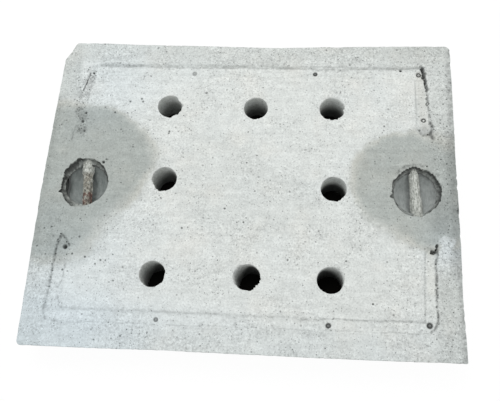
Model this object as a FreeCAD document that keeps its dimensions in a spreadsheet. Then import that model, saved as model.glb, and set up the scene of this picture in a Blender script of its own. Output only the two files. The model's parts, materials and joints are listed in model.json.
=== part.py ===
# Precast concrete manhole cover with drain holes and two lifting pockets.
#
# Millimetres, +Z up. The origin is the middle of the underside, +X runs along the long sides and
# +Y points at the back edge. The slab is one casting. In each lifting pocket a thin bowl was left
# in the concrete, and a ribbed steel bar lies in two notches of the bowl's rim, with both of its
# ends cast into the slab.

import FreeCAD, Part
import math
import os

import Sketcher

# Driving sizes
SIZES = {
    # Slab
    "slab_length": 760.0,
    "slab_width": 600.0,
    "slab_thickness": 75.0,
    "side_draft": 7.0,
    "corner_radius": 9.0,
    "arris_radius": 2.0,
    "break_along_back": 21.0,
    "break_along_side": 39.0,
    # Channel printed by the mould strip
    "channel_inset": 46.5,
    "channel_width": 22.0,
    "channel_depth": 4.0,
    "channel_draft": 25.0,
    "channel_corner_radius": 14.0,
    "channel_gap": 214.0,
    # Drain holes
    "hole_diameter": 46.0,
    "hole_end_inset": 225.0,
    "hole_side_inset": 136.5,
    "hole_rows_drift": -4.0,
    "middle_column_drift": 11.5,
    "left_hole_drift": 15.5,
    "right_hole_drift": 4.0,
    "middle_holes_shift": 4.5,
    # Lifting pockets and their bowls
    "left_pocket_inset": 82.0,
    "right_pocket_inset": 73.0,
    "pocket_mouth": 92.0,
    "collar_depth": 13.0,
    "bowl_mouth": 80.0,
    "bowl_depth": 33.0,
    "bowl_wall": 2.5,
    # Lifting bars
    "bar_diameter": 16.0,
    "bar_depth": 19.0,
    "bar_embedment": 65.0,
    "left_bar_lean": 5.5,
    "right_bar_lean": 2.5,
    "rib_height": 1.2,
    "rib_width": 2.2,
    "rib_pitch": 8.5,
    "rib_tilt": 30.0,
    "ribs_per_bar": 8,
}

doc = FreeCAD.newDocument("manhole_cover")
sheet = doc.addObject("Spreadsheet::Sheet", "sizes")
for row, (name, number) in enumerate(SIZES.items(), start=1):
    sheet.set(f"A{row}", name)
    sheet.set(f"B{row}", str(number))
    sheet.setAlias(f"B{row}", name)
doc.recompute()


class Size:
    """A size worked out from the sheet: its value now, and the formula that keeps it true."""

    def __init__(self, value, formula):
        self.value = float(value)
        self.formula = formula

    def __add__(self, other):
        other = as_size(other)
        return Size(self.value + other.value, f"({self.formula} + {other.formula})")

    def __sub__(self, other):
        other = as_size(other)
        return Size(self.value - other.value, f"({self.formula} - {other.formula})")

    def __mul__(self, other):
        other = as_size(other)
        return Size(self.value * other.value, f"({self.formula} * {other.formula})")

    def __truediv__(self, other):
        other = as_size(other)
        return Size(self.value / other.value, f"({self.formula} / {other.formula})")

    def __neg__(self):
        return self * -1

    def root(self):
        return Size(math.sqrt(self.value), f"sqrt({self.formula})")


def as_size(number):
    if isinstance(number, Size):
        return number
    return Size(number, f"({number})")


def size(name):
    return Size(getattr(sheet, name), f"sizes.{name}")


def bind(target, path, amount):
    target.setExpression(path, as_size(amount).formula)


# Places that several pieces share
top = size("slab_thickness")
half_length = size("slab_length") / 2
half_width = size("slab_width") / 2
rim_height = top - size("collar_depth")
bar_height = top - size("bar_depth")
bar_length = size("pocket_mouth") + size("bar_embedment") * 2
bowl_half_mouth = size("bowl_mouth") / 2
bowl_depth = size("bowl_depth")
# The bowl is part of a sphere, which its mouth and its depth fix.
bowl_radius = (bowl_half_mouth * bowl_half_mouth + bowl_depth * bowl_depth) / (bowl_depth * 2)
bowl_outer_radius = bowl_radius + size("bowl_wall")
bowl_centre_height = rim_height - bowl_depth + bowl_radius
centre_above_rim = bowl_radius - bowl_depth
bowl_outer_half_mouth = (bowl_outer_radius * bowl_outer_radius - centre_above_rim * centre_above_rim).root()
LEFT = -1
RIGHT = 1
pocket_x = {LEFT: size("left_pocket_inset") - half_length, RIGHT: half_length - size("right_pocket_inset")}
bar_lean = {LEFT: size("left_bar_lean"), RIGHT: size("right_bar_lean")}
side_name = {LEFT: "left", RIGHT: "right"}
ZERO = Size(0, "0")


def new_body(label):
    body = doc.addObject("PartDesign::Body", label)
    body.Label = label
    return body


def new_sketch(body, name, role):
    """An empty sketch on one of the body's own origin planes."""
    sketch = body.newObject("Sketcher::SketchObject", name)
    plane = next(feature for feature in body.Origin.OriginFeatures if feature.Role == role)
    sketch.AttachmentSupport = [(plane, "")]
    sketch.MapMode = "FlatFace"
    return sketch


def shift_sketch(sketch, shift, lean=None):
    """Move a sketch within its plane's own axes, and turn it about its vertical axis by lean."""
    angle = as_size(lean or 0).value
    base = FreeCAD.Vector(*[as_size(part).value for part in shift])
    sketch.AttachmentOffset = FreeCAD.Placement(base, FreeCAD.Rotation(FreeCAD.Vector(0, 1, 0), angle))
    for axis, part in zip("xyz", shift):
        bind(sketch, f"AttachmentOffset.Base.{axis}", part)
    if lean is not None:
        bind(sketch, "AttachmentOffset.Rotation.Angle", lean)


H_AXIS = -1
V_AXIS = -2
ORIGIN = (-1, 1)
START = 1
END = 2
CENTRE = 3


def fix_coordinate(sketch, kind, edge, point, amount):
    """Hold one coordinate of a point at a size, or on an axis where the size is nothing."""
    if amount is ZERO:
        axis = V_AXIS if kind == "DistanceX" else H_AXIS
        sketch.addConstraint(Sketcher.Constraint("PointOnObject", edge, point, axis))
        return
    number = sketch.addConstraint(Sketcher.Constraint(kind, *ORIGIN, edge, point, amount.value))
    bind(sketch, f"Constraints[{number}]", amount)


def fix_point(sketch, edge, point, place):
    fix_coordinate(sketch, "DistanceX", edge, point, place[0])
    fix_coordinate(sketch, "DistanceY", edge, point, place[1])


def vector(place):
    return FreeCAD.Vector(place[0].value, place[1].value, 0)


def draw_outline(sketch, corners):
    """A closed outline. Each corner is (place, bend): the edge that leaves the place is a straight
    line where bend is None, or an arc where it is (centre, turn, held), with turn "left" or "right"
    and held naming the coordinate of the centre that fixes the arc between its two ends."""
    edges = []
    for number, (place, bend) in enumerate(corners):
        begin = vector(place)
        finish = vector(corners[(number + 1) % len(corners)][0])
        if bend is None:
            edge = sketch.addGeometry(Part.LineSegment(begin, finish), False)
            edges.append((edge, START, END))
            continue
        middle = vector(bend[0])
        angles = [math.atan2(end.y - middle.y, end.x - middle.x) for end in (begin, finish)]
        ends = (START, END)
        if bend[1] == "right":
            angles.reverse()
            ends = (END, START)
        if angles[1] < angles[0]:
            angles[1] += 2 * math.pi
        circle = Part.Circle(middle, FreeCAD.Vector(0, 0, 1), (begin - middle).Length)
        edge = sketch.addGeometry(Part.ArcOfCircle(circle, *angles), False)
        edges.append((edge, *ends))
    for number, (edge, begin, finish) in enumerate(edges):
        following = edges[(number + 1) % len(edges)]
        sketch.addConstraint(Sketcher.Constraint("Coincident", edge, finish, following[0], following[1]))
        place, bend = corners[number]
        fix_point(sketch, edge, begin, place)
        if bend is not None:
            held = bend[2]
            amount = bend[0][0] if held == "DistanceX" else bend[0][1]
            fix_coordinate(sketch, held, edge, CENTRE, amount)


def draw_circle(sketch, place, diameter):
    normal = FreeCAD.Vector(0, 0, 1)
    edge = sketch.addGeometry(Part.Circle(vector(place), normal, diameter.value / 2), False)
    fix_point(sketch, edge, CENTRE, place)
    number = sketch.addConstraint(Sketcher.Constraint("Diameter", edge, diameter.value))
    bind(sketch, f"Constraints[{number}]", diameter)


def add_feature(body, kind, name, sketch, **lengths):
    """A sketch-based feature whose lengths follow the sheet."""
    feature = body.newObject(f"PartDesign::{kind}", name)
    feature.Profile = sketch
    for path, amount in lengths.items():
        bind(feature, path, amount)
    return feature


def edges_of(feature, wanted):
    """Names of a feature's edges whose two ends pass the test."""
    names = []
    for number, edge in enumerate(feature.Shape.Edges, start=1):
        if wanted([vertex.Point for vertex in edge.Vertexes]):
            names.append(f"Edge{number}")
    return names


def faces_of(feature, wanted):
    """Names of a feature's faces whose normal and middle pass the test."""
    names = []
    for number, face in enumerate(feature.Shape.Faces, start=1):
        low_u, high_u, low_v, high_v = face.ParameterRange
        normal = face.normalAt((low_u + high_u) / 2, (low_v + high_v) / 2)
        if wanted(normal, face.CenterOfMass):
            names.append(f"Face{number}")
    return names


def add_draft(body, name, base, faces, angle, undercut):
    """Lean a feature's faces by an angle about the plane of the slab's top face: under the face
    that they meet there, or out past it."""
    draft = body.newObject("PartDesign::Draft", name)
    draft.Base = (base, faces)
    draft.Reversed = undercut
    top_face = faces_of(base, lambda normal, middle: normal.z > 0.99 and middle.z > top.value - 0.01)
    draft.NeutralPlane = (base, top_face)
    bind(draft, "Angle", angle)
    doc.recompute()
    return draft


# The slab's drafted block, with one corner broken off and the other three rounded
def make_block(body):
    outline = new_sketch(body, "slab_outline", "XY_Plane")
    shift_sketch(outline, (ZERO, ZERO, top))
    places = [
        (half_length, -half_width),
        (half_length, half_width),
        (size("break_along_back") - half_length, half_width),
        (-half_length, half_width - size("break_along_side")),
        (-half_length, -half_width),
    ]
    draw_outline(outline, [(place, None) for place in places])
    block = add_feature(body, "Pad", "slab_block", outline, Length=top)
    block.Reversed = True
    doc.recompute()
    sides = faces_of(block, lambda normal, middle: abs(normal.z) < 0.5)
    block = add_draft(body, "drafted_sides", block, sides, size("side_draft"), True)

    def sound_corner(ends):
        rises = abs(ends[0].z - ends[1].z) > top.value / 2
        broken = ends[0].x < 0 and ends[0].y > 0
        return rises and not broken

    def sound_arris(ends):
        at_top = all(end.z > top.value / 2 for end in ends)
        broken = all(end.x < 0 and end.y > 0 for end in ends)
        return at_top and not broken

    corners = body.newObject("PartDesign::Fillet", "rounded_corners")
    corners.Base = (block, edges_of(block, sound_corner))
    bind(corners, "Radius", size("corner_radius"))
    doc.recompute()

    arris = body.newObject("PartDesign::Fillet", "rounded_arris")
    arris.Base = (corners, edges_of(corners, sound_arris))
    bind(arris, "Radius", size("arris_radius"))
    doc.recompute()


# The channel runs round the top face and stops on both sides of each pocket, in round ends.
def cut_channel(body):
    sketch = new_sketch(body, "channel_outline", "XY_Plane")
    shift_sketch(sketch, (ZERO, ZERO, top))
    width = size("channel_width")
    round_end = width / 2
    bend = size("channel_corner_radius")
    outer_x = half_length - size("channel_inset")
    outer_y = half_width - size("channel_inset")
    inner_x = outer_x - width
    inner_y = outer_y - width
    end_y = size("channel_gap") / 2 + round_end
    bend_x = outer_x - bend
    bend_y = outer_y - bend
    middle_x = outer_x - round_end
    for flip, turn in ((1, "left"), (-1, "right")):
        draw_outline(sketch, [
            ((outer_x, end_y * flip), None),
            ((outer_x, bend_y * flip), ((bend_x, bend_y * flip), turn, "DistanceX")),
            ((bend_x, outer_y * flip), None),
            ((-bend_x, outer_y * flip), ((-bend_x, bend_y * flip), turn, "DistanceX")),
            ((-outer_x, bend_y * flip), None),
            ((-outer_x, end_y * flip), ((-middle_x, end_y * flip), turn, "DistanceY")),
            ((-inner_x, end_y * flip), None),
            ((-inner_x, inner_y * flip), None),
            ((inner_x, inner_y * flip), None),
            ((inner_x, end_y * flip), ((middle_x, end_y * flip), turn, "DistanceY")),
        ])
    channel = add_feature(body, "Pocket", "channel", sketch, Length=size("channel_depth"))
    doc.recompute()
    floor_height = top.value - size("channel_depth").value
    walls = faces_of(channel, lambda normal, middle: abs(normal.z) < 0.01 and middle.z > floor_height)
    add_draft(body, "drafted_channel", channel, walls, size("channel_draft"), False)


# Eight drain holes: three columns and three rows with no hole in the middle, set a little unevenly
def cut_holes(body):
    sketch = new_sketch(body, "hole_outlines", "XY_Plane")
    shift_sketch(sketch, (ZERO, ZERO, top))
    column_x = half_length - size("hole_end_inset")
    row_y = half_width - size("hole_side_inset")
    middle_y = size("hole_rows_drift")
    for row in (row_y + middle_y, middle_y - row_y):
        for column in (-column_x, size("middle_column_drift"), column_x):
            draw_circle(sketch, (column, row), size("hole_diameter"))
    shift = size("middle_holes_shift")
    draw_circle(sketch, (shift - column_x, middle_y + size("left_hole_drift")), size("hole_diameter"))
    draw_circle(sketch, (shift + column_x, middle_y + size("right_hole_drift")), size("hole_diameter"))
    holes = add_feature(body, "Pocket", "drain_holes", sketch)
    holes.Type = "ThroughAll"
    doc.recompute()


# A lifting pocket: a steep collar down to the bowl's rim, the bowl's seat, and the bores for the bar
def cut_pocket(body, side):
    seat = new_sketch(body, f"{side_name[side]}_pocket_section", "XZ_Plane")
    shift_sketch(seat, (pocket_x[side], ZERO, ZERO))
    draw_outline(seat, [
        ((ZERO, bowl_centre_height - bowl_outer_radius), ((ZERO, bowl_centre_height), "left", "DistanceX")),
        ((bowl_outer_half_mouth, rim_height), None),
        ((size("pocket_mouth") / 2, top), None),
        ((ZERO, top), None),
    ])
    pocket = add_feature(body, "Groove", f"{side_name[side]}_pocket", seat)
    pocket.ReferenceAxis = (seat, ["V_Axis"])
    doc.recompute()

    bore = new_sketch(body, f"{side_name[side]}_bar_bore_outline", "XZ_Plane")
    shift_sketch(bore, (pocket_x[side], ZERO, ZERO), bar_lean[side])
    draw_circle(bore, (ZERO, bar_height), size("bar_diameter"))
    cut = add_feature(body, "Pocket", f"{side_name[side]}_bar_bore", bore, Length=bar_length)
    cut.SideType = "Symmetric"
    doc.recompute()


def make_slab():
    body = new_body("cover_slab")
    make_block(body)
    cut_channel(body)
    cut_holes(body)
    for side in (LEFT, RIGHT):
        cut_pocket(body, side)
    return body


def set_in_pocket(body, side):
    """Stand a piece on its pocket's axis, turned by the lean of that pocket's bar."""
    turn = FreeCAD.Rotation(FreeCAD.Vector(0, 0, 1), bar_lean[side].value)
    body.Placement = FreeCAD.Placement(FreeCAD.Vector(pocket_x[side].value, 0, 0), turn)
    bind(body, "Placement.Base.x", pocket_x[side])
    bind(body, "Placement.Rotation.Angle", bar_lean[side])


# The bowl under a bar: a thin spherical dish with two notches in its rim for the bar
def make_bowl(side):
    body = new_body(f"{side_name[side]}_pocket_bowl")
    section = new_sketch(body, "bowl_section", "XZ_Plane")
    draw_outline(section, [
        ((ZERO, bowl_centre_height - bowl_outer_radius), ((ZERO, bowl_centre_height), "left", "DistanceX")),
        ((bowl_outer_half_mouth, rim_height), None),
        ((bowl_half_mouth, rim_height), ((ZERO, bowl_centre_height), "right", "DistanceX")),
        ((ZERO, rim_height - bowl_depth), None),
    ])
    dish = add_feature(body, "Revolution", "bowl_dish", section)
    dish.ReferenceAxis = (section, ["V_Axis"])
    doc.recompute()
    notch = new_sketch(body, "bar_notch_outline", "XZ_Plane")
    draw_circle(notch, (ZERO, bar_height), size("bar_diameter"))
    cut = add_feature(body, "Pocket", "bar_notches", notch, Length=bar_length)
    cut.SideType = "Symmetric"
    set_in_pocket(body, side)
    doc.recompute()
    return body


# The lifting bar: a plain core, two ribs along it and slanted crescent ribs between them. A rib is a
# disc set askew on the bar, so it stands proud above and below and dies away at the bar's two sides.
def make_bar(side):
    body = new_body(f"{side_name[side]}_lift_bar")
    diameter = size("bar_diameter")
    ribs_span = size("rib_pitch") * (size("ribs_per_bar") - 1)
    core_outline = new_sketch(body, "core_outline", "XZ_Plane")
    draw_circle(core_outline, (ZERO, bar_height), diameter)
    core = add_feature(body, "Pad", "core", core_outline, Length=bar_length)
    core.SideType = "Symmetric"
    doc.recompute()

    long_ribs = new_sketch(body, "long_rib_outline", "XZ_Plane")
    reach = diameter / 2 + size("rib_height")
    half_rib = size("rib_width") / 2
    draw_outline(long_ribs, [
        ((-reach, bar_height - half_rib), None),
        ((reach, bar_height - half_rib), None),
        ((reach, bar_height + half_rib), None),
        ((-reach, bar_height + half_rib), None),
    ])
    pair = add_feature(body, "Pad", "long_ribs", long_ribs, Length=ribs_span)
    pair.SideType = "Symmetric"
    doc.recompute()

    rib_outline = new_sketch(body, "crescent_rib_outline", "XZ_Plane")
    shift_sketch(rib_outline, (ZERO, ZERO, ribs_span / 2), size("rib_tilt"))
    draw_circle(rib_outline, (ZERO, bar_height), reach * 2)
    rib = add_feature(body, "Pad", "crescent_rib", rib_outline, Length=size("rib_width"))
    rib.SideType = "Symmetric"
    doc.recompute()

    ribs = body.newObject("PartDesign::LinearPattern", "crescent_ribs")
    ribs.Originals = [rib]
    along_bar = next(feature for feature in body.Origin.OriginFeatures if feature.Role == "Y_Axis")
    ribs.Direction = (along_bar, [""])
    bind(ribs, "Length", ribs_span)
    bind(ribs, "Occurrences", size("ribs_per_bar"))
    body.Tip = ribs
    set_in_pocket(body, side)
    doc.recompute()
    return body


def check(pieces):
    """Stop if a feature failed or a piece isn't one sound solid."""
    for item in doc.Objects:
        if {"Invalid", "Error"} & set(item.State):
            raise RuntimeError(f"{item.Label} failed: {item.State}")
    for piece in pieces:
        shape = piece.Shape
        if shape.isNull() or not shape.isValid() or len(shape.Solids) != 1:
            raise RuntimeError(f"{piece.Label} is not one sound solid")


pieces = [make_slab()]
for side in (LEFT, RIGHT):
    pieces.append(make_bowl(side))
    pieces.append(make_bar(side))
doc.recompute()
check(pieces)

os.makedirs("parts", exist_ok=True)
for piece in pieces:
    piece.Shape.exportStep(f"parts/{piece.Label}.step")
    box = piece.Shape.BoundBox
    print(f"{piece.Label}: {piece.Shape.Volume / 1000:.1f} cm3, x {box.XMin:.1f} to {box.XMax:.1f}, "
          f"y {box.YMin:.1f} to {box.YMax:.1f}, z {box.ZMin:.1f} to {box.ZMax:.1f}")
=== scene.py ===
# %% [markdown]
# # A concrete manhole cover
#
# The real cover is a slab of concrete, cast in a plain mould and trowelled by hand. A strip in the
# mould left a shallow channel round its top. Eight drain holes go through it, and two pockets, each
# with a steel bar across a sunk bowl, are there to lift it. This lesson dresses the measured model
# with what a mould and a trowel leave behind: uneven edges, ragged rims, pits, crust and stains.

# %% Load the measured model
import json
import math

import bmesh
import bpy
import numpy as np
from mathutils import Matrix, Vector
from mathutils.geometry import delaunay_2d_cdt
from mathutils.kdtree import KDTree


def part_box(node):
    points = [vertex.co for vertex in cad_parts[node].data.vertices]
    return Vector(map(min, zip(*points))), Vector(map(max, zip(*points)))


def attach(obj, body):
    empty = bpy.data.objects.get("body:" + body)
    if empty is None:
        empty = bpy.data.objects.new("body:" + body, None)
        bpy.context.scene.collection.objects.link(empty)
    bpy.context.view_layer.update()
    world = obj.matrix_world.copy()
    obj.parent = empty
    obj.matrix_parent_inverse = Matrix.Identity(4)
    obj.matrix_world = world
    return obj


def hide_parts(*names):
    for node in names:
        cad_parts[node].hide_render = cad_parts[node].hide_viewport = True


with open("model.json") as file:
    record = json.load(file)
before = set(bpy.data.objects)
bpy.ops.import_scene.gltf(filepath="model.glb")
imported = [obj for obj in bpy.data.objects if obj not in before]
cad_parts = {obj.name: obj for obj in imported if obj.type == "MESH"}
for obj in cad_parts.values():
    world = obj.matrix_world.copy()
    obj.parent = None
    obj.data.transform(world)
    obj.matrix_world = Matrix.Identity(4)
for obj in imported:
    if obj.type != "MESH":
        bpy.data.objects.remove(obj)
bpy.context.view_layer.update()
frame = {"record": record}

# %% [markdown]
# ## Places
#
# Every piece is placed by the measured model, so that nothing has to be fitted by eye. The slab's box
# gives the edges. The openings that the model states give the middles of the drain holes, and the
# bowls give the middles of the pockets. Shapes are worked out in millimetres, as on a drawing, and
# turned into metres when a mesh is made.

# %% Read the places from the model
MILLIMETRE = 0.001
SIDES = ("left", "right")
slab_low, slab_high = (np.array(corner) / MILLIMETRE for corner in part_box("cover_slab"))
HALF_LENGTH, HALF_WIDTH, TOP = slab_high
HOLE_WORD = "drain_hole_"
holes = {}
for opening in frame["record"]["physics"]["openings"]:
    if opening["name"].startswith(HOLE_WORD):
        middle = np.mean(opening["box_m"], axis=0) / MILLIMETRE
        holes[opening["name"].removeprefix(HOLE_WORD)] = middle[:2]
bowls = {side: np.array(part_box(f"{side}_pocket_bowl")) / MILLIMETRE for side in SIDES}
bars = {side: np.array(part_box(f"{side}_lift_bar")) / MILLIMETRE for side in SIDES}
pockets = {side: bowls[side].mean(axis=0)[:2] for side in SIDES}
print("slab", np.round(slab_high - slab_low, 1), "holes", len(holes), "pockets", pockets)

# %% [markdown]
# ## Unevenness
#
# Hand work shows as slow waves, fine wobbles and chips. Blender's own noise could move finished points,
# but an outline needs its values before there is a mesh. So a small function makes the same kind of
# smooth random field from a seed, in two or three dimensions, and all shapes share it.

# %% Smooth random fields
TABLE_SIZE = 8192
SCRAMBLE = np.array([73856093, 19349663, 83492791])


def lumps(points, width, seed):
    """Smooth random values from -1 to 1 at points, in lumps about this wide."""
    scaled = np.asarray(points, float) / width
    cell = np.floor(scaled).astype(np.int64)
    share = scaled - cell
    share = share * share * (3 - 2 * share)
    table = np.random.default_rng(seed).uniform(-1, 1, TABLE_SIZE)
    total = np.zeros(len(scaled))
    for corner in np.ndindex(*(2,) * scaled.shape[1]):
        steps = np.array(corner)
        weight = np.prod(np.where(steps == 1, share, 1 - share), axis=1)
        keys = np.bitwise_xor.reduce((cell + steps) * SCRAMBLE[:scaled.shape[1]], axis=1)
        total += weight * table[keys % TABLE_SIZE]
    return total


def smooth_step(values, start, finish):
    """0 before start, 1 after finish and a smooth rise between them."""
    share = np.clip((np.asarray(values, float) - start) / (finish - start), 0, 1)
    return share * share * (3 - 2 * share)


def bump(angles, middle, half_width):
    """1 at an angle in degrees, falling smoothly to 0 a half width away from it."""
    away = np.abs((angles - middle + 180) % 360 - 180)
    return 1 - smooth_step(away, 0, half_width)


def wandering(points, reach, width, seed):
    """The points, moved a little by two random fields."""
    moves = np.stack([lumps(points, width, seed), lumps(points, width, seed + 1)], axis=1)
    return points + reach * moves


# %% [markdown]
# ## The outline
#
# The mould's corners were not alike: one is sharp, two are rounded and one broke off. The back edge sags
# inwards in the middle and the left one leans. The outline is a polygon with a radius at each corner,
# walked in even steps, drawn in by a measured drift along each side, and then roughened.

# %% Walk round the outline
EDGE_STEP = 2.8
# Distances from a side where its drift begins and where it is full
DRIFT_BEGINS = 45
DRIFT_FULL = 8
BREAK_ALONG_BACK = 21.0
BREAK_ALONG_SIDE = 39.0
CORNERS = [
    ((-HALF_LENGTH, -HALF_WIDTH), 8.0),
    ((HALF_LENGTH, -HALF_WIDTH), 2.5),
    ((HALF_LENGTH, HALF_WIDTH), 11.0),
    ((BREAK_ALONG_BACK - HALF_LENGTH, HALF_WIDTH), 5.0),
    ((-HALF_LENGTH, HALF_WIDTH - BREAK_ALONG_SIDE), 9.0),
]
# Side, the axis that it faces along, its sign, and pairs of place along the side and drift inwards
edge_drifts = [
    ("left", 0, -1, [(-275, 1), (-18, 0), (128, 2.9), (250, 5.8)]),
    ("right", 0, 1, [(-266, 0), (-197, 2.2), (-100, 0.4), (57, 1.1), (200, 0)]),
    ("back", 1, 1, [(-300, 0), (-218, 2.6), (-98, 4), (0, 6.3), (61, 6.6), (139, 3.7), (332, 0)]),
    ("front", 1, -1, [(-258, 0), (-120, 1.4), (14, 0.8), (147, 0), (372, 1.5)]),
]


def even_steps(loop, step):
    """The same closed loop, with its points one step apart."""
    closed = np.vstack([loop, loop[:1]])
    along = np.concatenate([[0], np.cumsum(np.linalg.norm(np.diff(closed, axis=0), axis=1))])
    count = round(along[-1] / step)
    stops = np.arange(count) * along[-1] / count
    return np.stack([np.interp(stops, along, closed[:, axis]) for axis in range(2)], axis=1)


def rounded_loop(corners, arc_points=9):
    """A polygon with a radius at each corner, going round to the left."""
    loop = []
    for number, (corner, radius) in enumerate(corners):
        corner = np.array(corner)
        back = np.array(corners[number - 1][0]) - corner
        ahead = np.array(corners[(number + 1) % len(corners)][0]) - corner
        back /= np.linalg.norm(back)
        ahead /= np.linalg.norm(ahead)
        half = math.acos(np.dot(back, ahead)) / 2
        centre = corner + (back + ahead) / np.linalg.norm(back + ahead) * radius / math.sin(half)
        start = corner + back * radius / math.tan(half) - centre
        angles = math.atan2(start[1], start[0]) + np.linspace(0, math.pi - 2 * half, arc_points)
        loop.extend(centre + radius * np.stack([np.cos(angles), np.sin(angles)], axis=1))
    return np.array(loop)


def outward(loop, reach=1):
    """Unit vectors that point out of a closed loop that goes round to the left."""
    along = np.roll(loop, -reach, axis=0) - np.roll(loop, reach, axis=0)
    normals = np.stack([along[:, 1], -along[:, 0]], axis=1)
    return normals / np.linalg.norm(normals, axis=1)[:, None]


def drawn_in(loop, inset):
    """The loop, with its long and short sides moved in by an inset."""
    return loop * (1 - np.asarray(inset)[..., None] / np.array([HALF_LENGTH, HALF_WIDTH]))


straight = even_steps(rounded_loop(CORNERS), EDGE_STEP)
outline = straight.copy()
for side, axis, sign, drifts in edge_drifts:
    along, drift = np.array(drifts, float).T
    half = (HALF_LENGTH, HALF_WIDTH)[axis]
    near = smooth_step(sign * straight[:, axis], half - DRIFT_BEGINS, half - DRIFT_FULL)
    outline[:, axis] -= sign * near * np.interp(straight[:, 1 - axis], along, drift)
edge_out = outward(outline, 4)
outline += edge_out * (0.25 * lumps(outline, 40, 1) + 0.3 * lumps(outline, 9, 2) - 0.45)[:, None]
print("outline", len(outline), "points")

# %% [markdown]
# ## Rims
#
# The drain holes were made with plugs pulled out of fresh concrete, so their rims are round in places and
# torn in others. The pockets' rims were broken out by hand. Each rim is a radius for each direction: a
# circle, a wobble, torn sectors, and single bites or tongues where the real rim has them.

# %% Radius of each rim in each direction
HOLE_RADIUS = 23.0
RIM_STEP = 1.1
RIM_ROUNDING = 0.7
NOT_WORN = (0, 1, 0.0)
rim_radii = {**{name: HOLE_RADIUS for name in holes}, "back_middle": 22.3, "left": 43.0, "right": 43.5}

# Direction, half width and roughness of each torn sector
torn = {
    "back_left": [(-55, 70, 2.3), (60, 60, 0.8)],
    "back_middle": [(-90, 60, 1.2), (100, 50, 0.8)],
    "back_right": [(-85, 75, 2.7), (10, 30, 1.6), (100, 40, 0.9)],
    "middle_left": [(-120, 80, 1.9), (60, 50, 0.6)],
    "middle_right": [(-60, 90, 1.6), (60, 40, 0.8)],
    "front_left": [(-30, 80, 1.4), (150, 40, 0.6)],
    "front_middle": [(-40, 80, 2.6), (200, 40, 1.4)],
    "front_right": [(-120, 60, 0.8)],
    "left": [(150, 100, 2.2), (40, 80, 1.2), (-90, 60, 1.6)],
    "right": [(100, 90, 2.6), (0, 70, 1.9), (-70, 60, 1.2), (180, 50, 0.9)],
}
# Direction, half width and reach outwards of each bite, or inwards of each tongue
bites = {
    "back_left": [(45, 100, 2.4), (225, 100, -2.4), (38, 26, -3.2), (8, 9, 1.8)],
    "back_middle": [],
    "back_right": [(90, 100, 1.8), (270, 100, -1.6), (-4, 7, -3.0), (22, 14, 1.4), (-25, 12, 1.2)],
    "middle_left": [(-105, 20, 1.6), (-150, 30, -1.2)],
    "middle_right": [(-70, 30, 0.8)],
    "front_left": [(-10, 30, -0.8)],
    "front_middle": [(-8, 22, 1.2), (-40, 9, -2.2), (-58, 8, 1.0)],
    "front_right": [(-60, 40, 0.8)],
    "left": [(105, 95, 6.3), (110, 10, 2.0), (202, 6, 7.0), (235, 60, 5.0), (252, 25, 2.4)],
    "right": [(63, 12, 1.8), (100, 26, 3.0), (160, 18, 1.5), (194, 8, 5.0), (250, 70, 4.5), (277, 8, 2.0)],
}
# Direction, half width and extra rounding of worn rims
soft_rims = {"front_right": (35, 85, 6.0), "front_middle": (172, 75, 6.0), "back_right": (60, 60, 2.0)}


def teeth(angles, radius, sectors, seed):
    """Random teeth along a rim, only in its torn sectors."""
    turn = np.radians(angles)
    circle = radius * np.stack([np.cos(turn), np.sin(turn)], axis=1)
    tooth = 0.6 * lumps(circle, 4.6, seed) + 0.7 * lumps(circle, 2.2, seed + 1)
    share = sum(roughness * bump(angles, middle, half_width) for middle, half_width, roughness in sectors)
    return tooth * share + 0.2 * lumps(circle, 14, seed + 2)


def even_angles(radius, step):
    """Directions in degrees, about one step apart on a circle of this radius."""
    count = round(2 * math.pi * radius / step)
    return np.arange(count) * 360 / count


def spread(middle, radii, angles, height):
    """Points round a middle at a radius for each direction, and at one height or a height for each."""
    turn = np.radians(angles)
    points = np.empty((len(angles), 3))
    points[:, 0] = middle[0] + radii * np.cos(turn)
    points[:, 1] = middle[1] + radii * np.sin(turn)
    points[:, 2] = height
    return points


rims = {}
for seed, (name, middle) in enumerate({**holes, **pockets}.items(), start=100):
    radius = rim_radii[name]
    angles = even_angles(radius, RIM_STEP)
    radii = radius + teeth(angles, radius, torn[name], 10 * seed)
    for direction, half_width, out in bites[name]:
        radii += out * bump(angles, direction, half_width)
    direction, half_width, extra = soft_rims.get(name, NOT_WORN)
    soft = RIM_ROUNDING + extra * bump(angles, direction, half_width)
    rims[name] = (middle, angles, radii, soft)
    print("rim", name, f"{radii.min():.1f} to {radii.max():.1f} mm")

# %% [markdown]
# ## The channel
#
# A strip of board in the mould left the channel. Its legs are not quite straight or parallel, and some
# were nearly trowelled shut, so each leg is a polygon with a depth of its own. Distances are measured
# from slightly displaced points, which makes the sides wander as real ones do.

# %% Depth of the channel at any place
CHANNEL_WALL = 1.7
channel_legs = [
    (4.2, [(-310, 228), (313, 228), (328, 240), (326, 252), (-300, 251.5), (-316, 246)]),
    (3.4, [(310, 246), (311, 119), (322, 107.5), (337, 113), (335.5, 147), (330, 201), (326.5, 252)]),
    (0.9, [(-320, 236), (-331, 191), (-338, 96), (-325, 86), (-313, 96), (-307, 236)]),
    (1.9, [(-313, -233), (314, -233), (328, -246), (320, -253), (-331, -256), (-339, -246)]),
    (2.4, [(-339.5, -246), (-335, -120), (-328, -101), (-318, -108), (-312, -124), (-315, -238)]),
    (3.0, [(312, -238), (316, -114), (326, -105), (337, -108), (335.5, -159), (332, -246), (320, -250)]),
]


def line_distance(points, corners, closed=False):
    """Distance to a line through the corners."""
    corners = np.array(corners, float)
    starts = corners if closed else corners[:-1]
    finishes = np.roll(corners, -1, axis=0) if closed else corners[1:]
    nearest = np.full(len(points), np.inf)
    for start, finish in zip(starts, finishes):
        along = finish - start
        share = np.clip((points - start) @ along / (along @ along), 0, 1)
        nearest = np.minimum(nearest, np.linalg.norm(points - start - share[:, None] * along, axis=1))
    return nearest


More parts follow.
